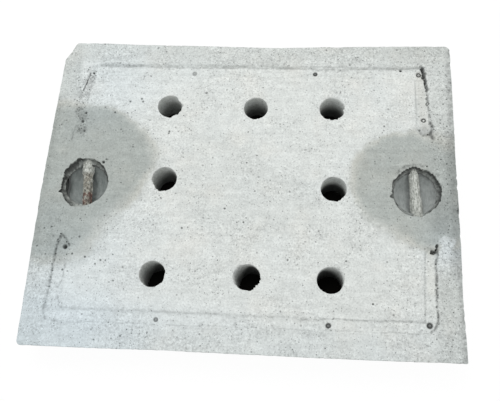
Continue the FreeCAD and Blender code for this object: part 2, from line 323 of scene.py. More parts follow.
def lies_inside(points, corners):
    """Whether each point lies inside a polygon, by counting the sides to the right of it."""
    corners = np.array(corners, float)
    inside = np.zeros(len(points), bool)
    for start, finish in zip(corners, np.roll(corners, -1, axis=0)):
        crosses = (start[1] > points[:, 1]) != (finish[1] > points[:, 1])
        rise = finish[1] - start[1] if finish[1] != start[1] else 1.0
        crossing = start[0] + (points[:, 1] - start[1]) / rise * (finish[0] - start[0])
        inside ^= crosses & (points[:, 0] < crossing)
    return inside


def polygon_distance(points, corners):
    """Distance to a polygon's outline, negative inside."""
    away = line_distance(points, corners, closed=True)
    return np.where(lies_inside(points, corners), -away, away)


def channel_depth(points):
    """How deep the channel is at each place, and how far outside its sides the place lies."""
    moved = wandering(wandering(points, 1.2, 40, 21), 0.7, 7, 23)
    depth = np.zeros(len(points))
    outside = np.full(len(points), np.inf)
    for deepest, corners in channel_legs:
        away = polygon_distance(moved, corners)
        depth = np.maximum(depth, deepest * smooth_step(-away, -CHANNEL_WALL, CHANNEL_WALL))
        outside = np.minimum(outside, away)
    return depth, outside


# %% [markdown]
# ## Stains, patches and specks
#
# Round both pockets the concrete was patched by hand later and dried darker. Dirt and painted shade sit
# along the channel's walls, and dirt in a crack. The border outside the channel is greyer and more speckled,
# because the trowel went over it less. A cool tint of the light is painted on, most at the front left. All
# of this is kept on the mesh as attributes from 0 to 1, which the finish reads.

# %% Marks that the finish reads
PATCH_BORDER = 23.0
PATCH_BLEND = 12.0
# Course of the pitted strip along the left channel's upper leg
PITTED_STRIP = [(-316, 231), (-326, 190), (-328, 160), (-319, 107)]
# Course of a pale, crusty bloom below the right pocket
PALE_BLOOM = [(355, -91), (347, -124)]
# Courses of the channel floors that are a little browner
BROWN_FLOORS = [[(320, 240), (326, 128)], [(327, -118), (326, -180)]]
# Middle, reach and strength of the areas of painted cool light
cool_areas = [(-350, -290, 190, 1.0), (-270, 225, 110, 0.5), (356, -100, 50, 0.5)]
# Strength of each damp patch, and the middle and radius of the circles that run together in it
damp_patches = [
    (0.97, [(-279, 49, 104), (-338, -52, 88), (-390, 8, 152)]),
    (0.9, [(290, 20, 104), (316, -46, 60), (378, 12, 90), (357, -38, 40)]),
    (0.1, [(-45, 20, 95), (60, -30, 70)]),
]
# Distances from the middle over which the border outside the channel begins
BORDER_X = (330, 342)
BORDER_Y = (250, 258)
# Half width, darkness, share of breaks and course of each dark line. Along the channel's walls they are
# dirt and painted shade of the walls, and the wide ones at the legs' ends are painted shade
dirt_and_shade_lines = [
    # Back of the channel
    (3.0, 0.40, 0.45, [(-300, 250), (-182, 249), (170, 248), (321, 251)]),
    (1.6, 0.16, 0.8, [(-315, 228), (283, 227)]),
    # Right channel, upper leg
    (5.0, 1.00, 0.3, [(326, 252), (329.5, 233)]),
    (4.0, 0.95, 0.4, [(329.5, 233), (332, 203)]),
    (3.0, 0.60, 0.7, [(331, 206), (333, 176), (336, 128)]),
    # Painted shade at the end of the leg
    (14.0, 0.34, 0.2, [(326, 124), (331, 118)]),
    (5.0, 0.85, 0.35, [(337, 136), (339, 124), (333, 113), (338, 104)]),
    (2.0, 0.24, 0.8, [(309, 225), (311, 182), (315, 126)]),
    (3.5, 0.60, 0.4, [(314, 124), (318, 113), (330, 109)]),
    (12.0, 0.11, 0.3, [(320, 244), (322, 182), (326, 128)]),
    (6.0, 0.60, 0.3, [(317, 238), (321, 237)]),
    # Left channel, upper leg, with a crack
    (1.8, 1.00, 0.1, [(-319, 233), (-322, 214), (-327, 190)]),
    (2.2, 0.50, 0.6, [(-311, 230), (-313, 198), (-317, 170)]),
    (2.0, 0.45, 0.3, [(-333, 117), (-336, 104), (-336, 84)]),
    # Left channel, lower leg
    (2.8, 0.65, 0.5, [(-328, -102), (-334, -121), (-335, -164), (-337, -190)]),
    (2.4, 0.38, 0.6, [(-337, -190), (-340, -238), (-334, -252), (-312, -256)]),
    # Painted shade near the end of the leg
    (13.0, 0.13, 0.3, [(-324, -118), (-326, -160)]),
    (3.2, 0.62, 0.45, [(-334, -114), (-328, -101), (-319, -107), (-310, -121)]),
    (2.0, 0.36, 0.8, [(-310, -137), (-316, -184), (-322, -204), (-315, -227)]),
    # Right channel, lower leg
    (3.0, 0.75, 0.6, [(337, -102), (335, -178), (334, -232), (330, -243), (322, -250)]),
    (1.8, 0.50, 0.6, [(322, -250), (300, -253), (240, -252)]),
    (1.8, 0.36, 0.7, [(317, -114), (313, -232)]),
    # Front of the channel
    (2.0, 0.45, 0.6, [(312, -232), (238, -234), (105, -235)]),
    (3.2, 0.22, 0.7, [(105, -235), (-65, -233), (-310, -232)]),
    (1.6, 0.28, 0.8, [(240, -252), (105, -253), (-150, -255), (-315, -256)]),
    # Crumbly dirt round the top of the right pocket
    (4.5, 0.60, 0.9, [(274, 34), (286, 45), (302, 49.5), (316, 48.5), (329, 42), (339, 31)]),
    # Stains along the right and left edges
    (28.0, 0.38, 0.3, [(382, -150), (380, -60), (380, 20), (380, 110)]),
    (32.0, 0.24, 0.2, [(352, -34), (346, -56)]),
    (4.0, 0.85, 0.4, [(377, -21), (376, -37)]),
    (11.0, 0.40, 0.7, [(378, -290), (378, -150)]),
    (13.0, 0.40, 0.7, [(378, 120), (377, 285)]),
    (9.0, 0.12, 0.6, [(-376, -170), (-374, 0), (-372, 180)]),
]


def patched(points):
    """How damp the hand-made patches are: 1 inside, with a soft, mottled border."""
    moved = wandering(wandering(points, 12, 70, 31), 4, 18, 33)
    softness = 1 + 0.7 * lumps(points, 130, 41)
    damp = np.zeros(len(points))
    for strength, circles in damp_patches:
        depths = [radius - np.linalg.norm(moved - (x, y), axis=1) for x, y, radius in circles]
        depth = PATCH_BLEND * np.log(np.exp(np.array(depths) / PATCH_BLEND).sum(axis=0))
        depth += 3 * lumps(points, 6, 38)
        damp = np.maximum(damp, strength * smooth_step(depth / softness, -0.8 * PATCH_BORDER, PATCH_BORDER))
    return damp


def dampness(points):
    """How damp the concrete is: most in the patches, a little on the slab's border, least in the bloom."""
    return np.maximum(0.35 * border_share(points), patched(points)) * (1 - 0.9 * blooming(points))


def warmth(points):
    """How brown the grey is: where a patch fades out and on two channel floors, but not in the bloom."""
    share = smooth_step(patched(points), 0.15, 0.95)
    brown = 1.3 * share * (1 - share) * (0.7 + 0.6 * lumps(points, 50, 48))
    for floor in BROWN_FLOORS:
        brown += 0.2 * (1 - smooth_step(line_distance(points, floor), 3, 12))
    return brown * (1 - blooming(points))


def blooming(points):
    """1 in the pale bloom, which ends in a ragged border."""
    return 1 - smooth_step(line_distance(wandering(points, 7, 10, 43), PALE_BLOOM), 8, 13)


def coolness(points):
    """How blue the painted cool light makes the grey: most at the front left corner, a little along the
    front.
    """
    cool = 0.2 * smooth_step(-points[:, 1], 200, 270) + 0.1 * lumps(points, 60, 46)
    for x, y, reach, strength in cool_areas:
        cool += strength * np.exp(-(np.linalg.norm(points - (x, y), axis=1) / reach) ** 2)
    return np.clip(cool, 0, 1)


def border_share(points):
    """1 on the border outside the channel, less at the back and left, and least along the front."""
    moved = wandering(points, 5, 30, 35)
    right = smooth_step(moved[:, 0], *BORDER_X)
    left = smooth_step(-moved[:, 0], *BORDER_X)
    back = smooth_step(moved[:, 1], *BORDER_Y)
    front = smooth_step(-moved[:, 1], *BORDER_Y)
    strength = np.maximum(0.9 * right, back * (0.55 + 0.45 * smooth_step(moved[:, 0], 220, 320)))
    strength = np.maximum(strength, left * (0.5 + 0.4 * smooth_step(moved[:, 1], 40, 200)))
    strength = np.maximum(strength, 0.2 * front)
    return strength * (1 + 0.4 * lumps(points, 60, 36))


def left_strip(points):
    """1 in the pitted strip along the left channel's upper leg."""
    away = line_distance(wandering(points, 3, 12, 37), PITTED_STRIP)
    return 1 - smooth_step(away, 5, 15)


def grime(points):
    """Dirt and painted shade along the channel's walls, dirt in the cracks of the bloom and over the pitted
    strip.
    """
    moved = wandering(wandering(points, 1.5, 22, 28), 0.9, 6, 25)
    breaks = smooth_step(lumps(points, 5, 27) + 0.7 * lumps(points, 2.6, 26), -0.5, 0.5)
    dusty = smooth_step(lumps(points, 4, 29) + 0.5 * lumps(points, 11, 30), -0.6, 0.8)
    total = 0.3 * left_strip(points) * dusty
    total += 0.3 * blooming(points) * (1 - smooth_step(np.abs(lumps(points, 7, 47)), 0.05, 0.3))
    for half_width, darkness, broken, corners in dirt_and_shade_lines:
        away = line_distance(moved, corners)
        line = darkness * (1 - broken * breaks) * (1 - smooth_step(away, 0.25 * half_width, half_width))
        total = np.maximum(total, line)
    return total


def speckle(points):
    """How thickly the concrete is speckled: in drifts, most on the border and in the pitted strip."""
    dense = np.maximum(0.9 * border_share(points), left_strip(points))
    calm = 1 - 0.75 * smooth_step(dampness(points), 0.5, 0.9)
    drifts = smooth_step(lumps(points, 42, 39) + 0.5 * lumps(points, 15, 40), -0.7, 0.7)
    return np.clip(0.55 * calm * drifts + dense * (0.4 + 0.6 * drifts), 0, 1)


# Courses of the rows of pits along the channel's walls
pit_rows = [
    [(337, -118), (335, -178), (334, -240)],
    [(332, 205), (335, 176), (337, 128)],
    [(-310, -121), (-319, -107), (-328, -101), (-334, -121), (-336, -180)],
]


def in_a_row(points):
    """1 along the channel's walls where pits sit in a row."""
    away = np.min([line_distance(points, row) for row in pit_rows], axis=0)
    return 1 - smooth_step(away, 0.8, 2.5)


def right_edge(points):
    """1 in the rough strip along the right edge."""
    return 0.7 * smooth_step(points[:, 0], 348, 368)


# %% [markdown]
# ## Pits and prints
#
# Air bubbles left pits, mostly in the border and along the channel. Heads of the screws that held the
# mould's strip left round prints in the channel. Each is a middle with a radius and a depth. The larger
# ones are where the picture shows them, and small ones are strewn at random, away from the rims.

# %% Middles of pits and prints
# Place, radius, depth, and darkness of the painted shade in the pit
seen_pits = [
    # Right channel's upper leg
    (331.5, 187, 2.6, 3.0, 0.9), (338.5, 128, 2.6, 3.0, 0.85), (331, 112, 2.6, 3.0, 0.8),
    (316.5, 121, 2.6, 2.5, 0.9),
    # Pits in the left channel
    (-318.5, -123, 5.0, 5.0, 1.0), (-312, 232, 3.2, 3.0, 0.95), (-320, 126, 3.6, 2.5, 0.9),
    (-316, 144, 3.0, 2.5, 0.9), (-314, 106, 2.8, 2.0, 0.8), (-317, -165, 2.4, 2.0, 0.85),
    (-313, -137, 2.0, 1.6, 0.8), (-336, -196, 2.2, 1.6, 0.85),
    # Bubbles in the field, most of them left of the middle
    (285, 247, 3.2, 3.0, 1.0), (-210, 227, 2.6, 2.0, 0.95), (-197, 226, 1.8, 1.5, 0.8),
    (-232, 170, 2.6, 2.0, 0.9), (-210, 176, 2.6, 2.0, 0.8), (-207, 170, 2.4, 2.0, 0.85),
    (-259, 146, 2.4, 1.8, 0.9), (-85, 191, 2.8, 2.0, 0.75), (-150, 108, 2.2, 2.0, 0.9),
    (-150.5, 104, 2.0, 2.0, 0.85), (18, 62, 1.8, 1.5, 0.8), (0, 47, 1.8, 1.5, 0.8),
    (-35, -43, 2.2, 2.0, 0.95), (0, -68, 2.0, 1.6, 0.95), (182, -133, 2.0, 2.0, 0.9),
    (227, -206, 2.2, 2.0, 0.95), (78, 228, 1.6, 1.5, 0.7), (11, 228, 1.6, 1.5, 0.7),
    (-303, -136, 2.2, 1.8, 0.85), (-279, -141, 2.4, 1.8, 0.85), (-259, -153, 2.2, 1.6, 0.85),
    (-250, -146, 2.2, 1.6, 0.85), (-241, -146, 1.8, 1.5, 0.8), (-229, -135, 1.8, 1.5, 0.75),
    (-223, -182, 2.0, 1.5, 0.8), (-110, -82, 2.4, 1.8, 0.85), (-294, -104, 2.2, 1.6, 0.7),
    (-348, -87, 2.2, 1.5, 0.7), (-199, -277, 2.4, 1.6, 0.75), (-244, -285, 2.0, 1.5, 0.7),
    # Beside the pockets
    (-268.5, 42, 3.2, 3.0, 1.0), (-264, 48, 1.8, 2.0, 0.85), (326.5, 48, 2.0, 2.5, 0.95),
]
# The smaller bubbles are partly filled with dust
DUSTY_BELOW = 3.0
DUST_SHARE = 0.2
seen_pits = [(*pit[:4], pit[4] * (1 - DUST_SHARE * (pit[2] < DUSTY_BELOW))) for pit in seen_pits]
# Start, finish, number of pits, radius, depth and unevenness of the long voids at the right channel's ends
long_voids = [
    ((326, 250), (329.5, 233), 8, 5.0, 5.5, 1.6),
    ((329.5, 227), (331.8, 204), 8, 3.5, 4.5, 1.2),
    ((328, -111), (334.5, -112), 6, 4.4, 7.0, 2.2),
    ((335, -108), (338.8, -99), 4, 3.2, 6.0, 0.9),
]
void_draw = np.random.default_rng(90)
for start, finish, count, radius, depth, uneven in long_voids:
    for place in np.linspace(start, finish, count):
        x, y = place + void_draw.uniform(-uneven, uneven, 2)
        seen_pits.append((x, y, radius * void_draw.uniform(0.55, 1.1), depth, void_draw.uniform(0.8, 1.0)))
# Place, radius, depth, darkness of the painted shade in the groove, and share of it as a dark mark in the
# middle of the screw heads' prints
screw_prints = [
    (-112, 235, 4.8, 1.0, 0.55, 0.8), (122.5, 237, 4.6, 1.6, 1.0, 0.8),
    (320.5, -238, 5.6, 1.8, 1.0, 0.8), (152.5, -245, 5.0, 1.4, 1.0, 0.75),
    (-141, -246.5, 4.4, 1.0, 0.75, 0.7), (324.5, 141.5, 4.8, 1.6, 1.0, 0.0),
    (319, 238, 5.4, 1.6, 1.0, 0.3), (323.5, 254, 3.4, 1.0, 0.5, 0.2),
    (332.5, 175.5, 4.0, 1.2, 0.85, 0.2),
]
PIT_TRIES = 80000
PIT_SPACING = 5.0
SMALLEST_PIT = 0.7
EDGE_MARGIN = 8
BACK_MARGIN = 14
RIM_MARGIN = 6
# Number, where they lie, largest radius and boldness of the painted shade of each lot of small pits
pit_lots = [
    (90, left_strip, 2.0, 0.65),
    (60, in_a_row, 2.0, 1.0),
    (70, right_edge, 1.8, 0.65),
    (420, speckle, 1.5, 0.6),
]


def strewn_pits(count, chances, largest, boldness, taken, seed):
    """Small pits at random places, clear of rims, edges and the pits that are taken."""
    draw = np.random.default_rng(seed)
    low = (EDGE_MARGIN - HALF_LENGTH, EDGE_MARGIN - HALF_WIDTH)
    high = (HALF_LENGTH - EDGE_MARGIN, HALF_WIDTH - BACK_MARGIN)
    places = draw.uniform(low, high, (PIT_TRIES, 2))
    lucky = draw.uniform(size=PIT_TRIES) < chances(places)
    for middle, angles, radii, soft in rims.values():
        lucky &= np.linalg.norm(places - middle, axis=1) > radii.max() + RIM_MARGIN
    found = []
    for place, size in zip(places[lucky], draw.uniform(size=lucky.sum())):
        others = np.array([other[:3] for other in taken + found])
        spaced = np.all(np.linalg.norm(others[:, :2] - place, axis=1) > others[:, 2] + PIT_SPACING / 2)
        if spaced and len(found) < count:
            radius = SMALLEST_PIT + (largest - SMALLEST_PIT) * size ** 2
            found.append((*place, radius, 0.5 + 0.9 * size, boldness * (0.45 + 0.55 * size)))
    return found


small_pits = []
for seed, (count, chances, largest, boldness) in enumerate(pit_lots, start=91):
    taken = seen_pits + screw_prints + small_pits
    small_pits += strewn_pits(count, chances, largest, boldness, taken, seed)
pit_count = len(seen_pits) + len(small_pits)
all_pits = np.array([pit[:5] for pit in seen_pits + small_pits + screw_prints])
ring_mark = np.concatenate([np.zeros(pit_count), np.ones(len(screw_prints))])
middle_share = np.concatenate([np.zeros(pit_count), [screw_print[5] for screw_print in screw_prints]])
print("pits", len(seen_pits), "seen", len(small_pits), "strewn", len(screw_prints), "prints")

# %% [markdown]
# ## The slab's skin
#
# The top is cut out as one sheet: rims and outline are fixed loops, and a triangulation fills the rest
# with points that lie close together only where the shape is lively. Boolean cuts through a fine grid
# could do the same, but they leave slivers along every rim. The walls hang from the same loops, ring by
# ring, so that the skin is closed without any stitching.

# %% A skin that grows ring by ring
class Skin:
    """Points, faces and the marks that the finish reads, gathered piece by piece."""

    MARKS = ("damp", "grime", "speckle", "cool", "warm")

    def __init__(self):
        self.points = []
        self.faces = []
        self.marks = {name: [] for name in self.MARKS}
        self.count = 0

    def add(self, points, **marks):
        """Add points and return their numbers. A mark that isn't given is 0."""
        first = self.count
        self.points.append(np.asarray(points, float))
        self.count += len(points)
        for name in self.MARKS:
            values = np.asarray(marks.get(name, 0.0), float)
            self.marks[name].append(np.broadcast_to(values, (len(points),)))
        return np.arange(first, self.count)

    def join(self, upper, lower):
        """Close the band between two rings of as many points."""
        quads = np.stack([upper, lower, np.roll(lower, -1), np.roll(upper, -1)], axis=1)
        self.faces.extend(quads.tolist())

    def hang(self, upper, points, **marks):
        """Add a ring, close the band between an upper ring and it, and return its numbers."""
        lower = self.add(points, **marks)
        self.join(upper, lower)
        return lower

    def close(self, ring, point):
        """Close a ring with a fan to one point."""
        pairs = zip(ring.tolist(), np.roll(ring, -1).tolist())
        self.faces.extend([one, point, two] for one, two in pairs)

    def mesh(self, name):
        """The mesh, with its marks, and with its faces turned outwards."""
        mesh = bpy.data.meshes.new(name)
        mesh.from_pydata((np.vstack(self.points) * MILLIMETRE).tolist(), [], self.faces)
        for mark_name, values in self.marks.items():
            layer = mesh.attributes.new(mark_name, "FLOAT", "POINT")
            layer.data.foreach_set("value", np.concatenate(values).astype(np.float32))
        shape = bmesh.new()
        shape.from_mesh(mesh)
        bmesh.ops.recalc_face_normals(shape, faces=shape.faces)
        open_edges = sum(not edge.is_manifold for edge in shape.edges)
        shape.to_mesh(mesh)
        shape.free()
        triangles = sum(len(face.vertices) - 2 for face in mesh.polygons)
        print(name, len(mesh.vertices), "points", triangles, "triangles", open_edges, "open edges")
        return mesh


def add_piece(name, mesh):
    """Add a mesh to the scene as an object."""
    piece = bpy.data.objects.new(name, mesh)
    bpy.context.scene.collection.objects.link(piece)
    return piece


# %% Points between the loops
# Steps of the filling, and the share of a step that it keeps from the loops
COARSE = 4.4
FINE = 2.0
MARGIN = 0.7
ARRIS = 1.5
# Reach round a loop within which points are measured against it
LOOP_REACH = 12
# Distances from a channel wall and from a rim within which the filling is fine
LIVELY_WALL = 5
LIVELY_RIM = 6
# Least distance of a pit's points from the loops, and of other points from a pit
PIT_INSIDE = 0.6
PIT_CLEARANCE = 0.7
chips = np.maximum(0, lumps(outline, 9, 3) - 0.3) * np.where(outline[:, 0] > HALF_LENGTH - 20, 2.0, 1.6)
top_edge = drawn_in(outline, ARRIS + chips)
loops = [spread(middle, radii + soft, angles, 0.0)[:, :2] for middle, angles, radii, soft in rims.values()]
loops.append(top_edge)


def staggered(step):
    """Rows of points one step apart, every second row shifted by half a step, all slightly uneven."""
    columns = np.arange(-HALF_LENGTH, HALF_LENGTH, step)
    rows = np.arange(-HALF_WIDTH, HALF_WIDTH, step * math.sqrt(3) / 2)
    x, y = np.meshgrid(columns, rows)
    x[1::2] += step / 2
    points = np.stack([x.ravel(), y.ravel()], axis=1)
    return points + np.random.default_rng(5).uniform(-0.12, 0.12, points.shape) * step


def nearest_of(points, places):
    """Number of the nearest place to each point."""
    tree = KDTree(len(places))
    for number, place in enumerate(places):
        tree.insert((place[0], place[1], 0.0), number)
    tree.balance()
    return np.array([tree.find((x, y, 0.0))[1] for x, y in points.tolist()], int)


def depth_into_slab(points, loop, is_outline):
    """Distance into the slab from the nearest point of a loop, negative off the slab."""
    nearest = nearest_of(points, loop)
    inward = -outward(loop) if is_outline else outward(loop)
    return np.einsum("ij,ij->i", points - loop[nearest], inward[nearest])


def pit_points():
    """A middle and rings of points for each pit, more of them for large ones and for prints."""
    places = []
    for number, (x, y, radius, depth, darkness) in enumerate(all_pits):
        places.append((x, y))
        rings = ((0.5, 6), (1.0, 10))
        if radius > 3:
            rings = ((0.33, 6), (0.66, 10), (1.0, 14))
        if ring_mark[number]:
            rings = ((0.3, 6), (0.55, 10), (0.75, 14), (0.95, 16), (1.12, 18))
        for share, count in rings:
            angles = np.arange(count) * 2 * math.pi / count + share
            reach = share * radius
            places.extend((x + reach * math.cos(angle), y + reach * math.sin(angle)) for angle in angles)
    return np.array(places)


def slab_depth(points):
    """Distance into the slab from the nearest rim or edge, for points within reach of one."""
    depth = np.full(len(points), np.inf)
    for number, loop in enumerate(loops):
        low = loop.min(axis=0) - LOOP_REACH
        high = loop.max(axis=0) + LOOP_REACH
        near = np.all((points > low) & (points < high), axis=1)
        depth[near] = np.minimum(depth[near], depth_into_slab(points[near], loop, number == len(loops) - 1))
    return depth


def filling_points():
    """Pits, a fine filling where the shape is lively and a coarse one elsewhere."""
    chosen = pit_points()
    chosen = [chosen[slab_depth(chosen) > PIT_INSIDE]]
    for step, fine in ((COARSE, False), (FINE, True)):
        points = staggered(step)
        depth = slab_depth(points)
        lively = (np.abs(channel_depth(points)[1]) < LIVELY_WALL) | (depth < LIVELY_RIM)
        lively |= (left_strip(points) > 0) | (blooming(points) > 0)
        nearest = all_pits[nearest_of(points, all_pits)]
        keep = np.linalg.norm(points - nearest[:, :2], axis=1) > nearest[:, 2] + PIT_CLEARANCE
        chosen.append(points[keep & (depth > step * MARGIN) & (lively == fine)])
    return np.vstack(chosen)


def sheet(fixed, filling):
    """A sheet's points, and its triangles as numbers of them. The last fixed loop is its outline."""
    flat = np.vstack(fixed + [filling])
    edges = []
    owner = np.full(len(flat), -1)
    first = 0
    for number, loop in enumerate(fixed):
        numbers = np.arange(first, first + len(loop))
        edges.extend(zip(numbers.tolist(), np.roll(numbers, -1).tolist()))
        owner[numbers] = number
        first += len(loop)
    cut = delaunay_2d_cdt([Vector(point) for point in flat], edges, [], 0, 1e-6, True)
    source = np.array([originals[0] for originals in cut[3]])
    triangles = source[np.array(cut[2])]
    owners = owner[triangles]
    doubtful = (owners[:, 0] >= 0) & (owners[:, 0] == owners[:, 1]) & (owners[:, 0] == owners[:, 2])
    centres = flat[triangles].mean(axis=1)
    keep = np.ones(len(triangles), bool)
    for number, loop in enumerate(fixed):
        own = doubtful & (owners[:, 0] == number)
        inside = lies_inside(centres[own], loop)
        keep[own] = inside if number == len(fixed) - 1 else ~inside
    return flat, triangles[keep]


# %% The trowelled top
# The trowelled face lies a little below the measured top, so that its waves stay under it
FLOATED_TOP = TOP - 0.55
# Course of the crumbled mortar at the bloom's upper end
CRUMBLED = [(345, -106), (352, -84), (362, -84)]


def top_height(points):
    """The top's height: slow trowel waves, a fine wobble and the channel."""
    waves = 0.22 * lumps(points, 130, 41) + 0.14 * lumps(points, 35, 42) + 0.06 * lumps(points, 8, 43)
    depth = channel_depth(points)[0]
    rough_floor = 0.22 * lumps(points, 5, 44) * smooth_step(depth, 0.5, 2)
    crumbled = np.exp(-(line_distance(points, CRUMBLED) / 7) ** 2)
    return FLOATED_TOP + waves - depth + rough_floor + 0.5 * crumbled * lumps(points, 5, 45)


skin = Skin()
flat, triangles = sheet(loops, filling_points())
skin.add(np.column_stack([flat, top_height(flat)]), damp=dampness(flat), grime=grime(flat),
         speckle=speckle(flat), cool=coolness(flat), warm=warmth(flat))
skin.faces.extend(triangles.tolist())
ends = np.cumsum([0] + [len(loop) for loop in loops])
loop_numbers = [np.arange(first, last) for first, last in zip(ends, ends[1:])]
print("top", len(flat), "points", len(triangles), "triangles")

# %% [markdown]
# ## Sides, hole walls and pockets
#
# The sides lean inwards going down, as the mould let the slab go, and the broken corner shows a rough
# fracture. The sides are darker towards the bottom. The hole walls are nearly straight, two of them lean,
# and all are painted darker going down, as shade that grows less on their lit sides. In a pocket a rough
# collar goes down to the bowl and laps over its rim; it is painted dark as shade. Behind the left bowl's
# rim the mortar left an open slit, and the seat seen through it is painted dark as shade.

# %% The leaning sides
SIDE_LEAN = math.tan(math.radians(7))
SIDE_DROPS = (4, 8, 13, 19, 26, 33, 40, 47, 54, 61, 67, 71, TOP - 1.5)
# Range of y less x over which the broken corner begins
BREAK_BEGINS = (626, 638)
# Inset and drop of each ring of the sides
side_levels = [(0.4, 0.6), (0.0, 1.7)]
side_levels += [(drop * SIDE_LEAN, drop) for drop in SIDE_DROPS]
side_levels.append((TOP * SIDE_LEAN + 1.6, TOP))
broken = smooth_step(outline[:, 1] - outline[:, 0], *BREAK_BEGINS)
edge_damp = dampness(outline)
edge_cool = coolness(outline)
upper = loop_numbers[-1]
for inset, drop in side_levels:
    ring = np.column_stack([drawn_in(outline, inset), np.full(len(outline), TOP - drop)])
    roughness = 0.25 * lumps(ring, 16, 51) + 0.2 * lumps(ring, 5, 52)
    roughness += broken * (1.3 * lumps(ring, 13, 53) + 0.8 * lumps(ring, 5, 54))
    wear = chips * smooth_step(-drop, -7, -0.5)
    push = (roughness - 0.45 - 1.2 * broken) * smooth_step(drop, 0, 5) - wear
    ring[:, :2] += edge_out * push[:, None]
    if drop < 5:
        ring[:, 2] -= 0.35 * chips * smooth_step(-drop, -5, -0.5)
    soaked = 1 - smooth_step(drop + 9 * lumps(ring, 18, 55) + 5 * lumps(ring, 6, 56), 4, 26)
    # Random stains, darker towards the bottom of the sides and on the chipped edge
    side_darkening = 0.08 + 0.1 * smooth_step(lumps(ring, 30, 57), -0.2, 0.8) + 0.12 * smooth_step(drop, 45, TOP)
    side_darkening += 0.3 * np.clip(chips, 0, 1) * smooth_step(-drop, -5, -0.5)
    damp = 0.2 + (edge_damp - 0.2) * soaked
    upper = skin.hang(upper, ring, damp=damp, grime=side_darkening, speckle=0.8, cool=edge_cool)
side_foot = upper
print("sides", len(side_levels), "rings")

# %% The hole walls
HOLE_DROPS = [0.6, 1.7, 4, 7, 11, 17, 24, 32, 41, 50, 59, 67, 72, TOP]
# Share of the rim's rounding on the first rings, and on all below them
ROUNDING_SHARES = (0.4, 0.1, 0.0)
# Depth where the painted shade on each hole's wall starts, depth where it is darkest, how dark it is
# there, direction of the lit side, and share of those depths on the shadiest side
hole_wall_shade = {
    "back_left": (24, 90, 0.54, 185, 0.35),
    "back_middle": (6, 62, 0.84, 90, 1.0),
    "back_right": (8, 57, 0.93, 90, 1.0),
    "middle_left": (22, 90, 0.8, 165, 0.35),
    "middle_right": (20, 45, 0.98, 90, 1.0),
    "front_left": (16, 110, 0.92, 168, 0.16),
    "front_middle": (24, 120, 0.98, 180, 0.12),
    "front_right": (12, 82, 0.98, 30, 0.2),
}
# How far to the right the foot of a leaning hole lies
hole_leans = {"front_left": 2.0, "front_middle": 5.0}
feet = []
for upper, name in zip(loop_numbers, holes):
    middle, angles, radii, soft = rims[name]
    start, finish, darkness, lit_side, least = hole_wall_shade[name]
    clear_of_dirt_and_shade = least + (1 - least) * bump(angles, lit_side, 110)
    for step, drop in enumerate(HOLE_DROPS):
        plain = HOLE_RADIUS + (radii - HOLE_RADIUS) * math.exp(-drop / 9)
        rounding = soft * ROUNDING_SHARES[min(step, 2)]
        height = max(FLOATED_TOP - drop, 0.0)
        wall = spread(middle, plain + rounding, angles, height)
        wobble = 0.3 * lumps(wall, 9, 61) + 0.25 * lumps(wall, 3.5, 62)
        wall = spread(middle, plain + rounding + wobble, angles, height)
        wall[:, 2] -= (soft - RIM_ROUNDING) * smooth_step(drop, 0, 3) * (1 - smooth_step(drop, 12, 60))
        wall[:, 0] += hole_leans.get(name, 0.0) * drop / TOP
        # Painted shade: each ring of the wall is darker going down, sooner on the side away from the light
        dirt_and_shade = darkness * smooth_step(drop / clear_of_dirt_and_shade, start, finish)
        upper = skin.hang(upper, wall, grime=dirt_and_shade, speckle=0.3)
    feet.append(upper)
print("hole walls", len(feet))

# %% The pockets' collars and the bowls' seats
SEAT_GAP = 0.25
BOWL_WALL = 2.5
SEAT_TURNS = (80, 72, 60, 48, 36, 24, 12)
# Direction, half width and how far each bowl's rim is pressed in there
bowl_dents = {"left": (183, 45, 9.0), "right": (0, 30, 0.0)}
# Direction, half width and darkness of the painted shade on one side of each bowl, and sideways shift of
# the painted shadow below the bar
bowl_shades = {"left": (190, 90, 0.0, 0.0), "right": (10, 100, 0.26, -3.0)}
# Least lap of the mortar over the bowl's rim, which just hides the rim
RIM_LAP = 3.2
# Direction, half width, more or less lap there, steepness of the collar, and how pale its mortar is,
# which below 0 adds painted shade
mortar_laps = {
    "left": [(183, 46, -0.7, 0.0, 0.0), (130, 55, 1.5, 0.0, -0.8), (88, 34, -2.4, 2.2, 0.0),
             (88, 18, 0.0, 0.0, 1.6), (262, 26, 0.5, 0.6, 1.3), (40, 44, 0.0, 0.0, -0.7)],
    "right": [(5, 75, 3.6, 0.0, -0.3), (95, 30, -1.8, 2.0, 0.0), (275, 24, -0.8, 1.4, 1.2)],
}
# Share of the way in, share of the way down, and painted shade of each ring of the collar, darkest on the
# steep wall under the rim
COLLAR_RINGS = [
    (0.0, 0.06, 0.45), (0.03, 0.18, 0.76), (0.06, 0.34, 0.86), (0.12, 0.5, 0.84), (0.22, 0.66, 0.74),
    (0.38, 0.78, 0.64), (0.56, 0.88, 0.58), (0.74, 0.95, 0.56), (0.88, 0.98, 0.6), (1.0, 1.0, 0.7),
]
LIP_THICKNESS = 0.9
LIP_GAP = 0.15
SEAT_DROP = 0.6


def bowl_sphere(side):
    """Radius and height of the middle of the sphere that is the bowl's outside."""
    low, high = bowls[side]
    reach = (high[0] - low[0]) / 2
    rise = high[2] - low[2]
    radius = (reach ** 2 + rise ** 2) / (2 * rise)
    return radius, low[2] + radius


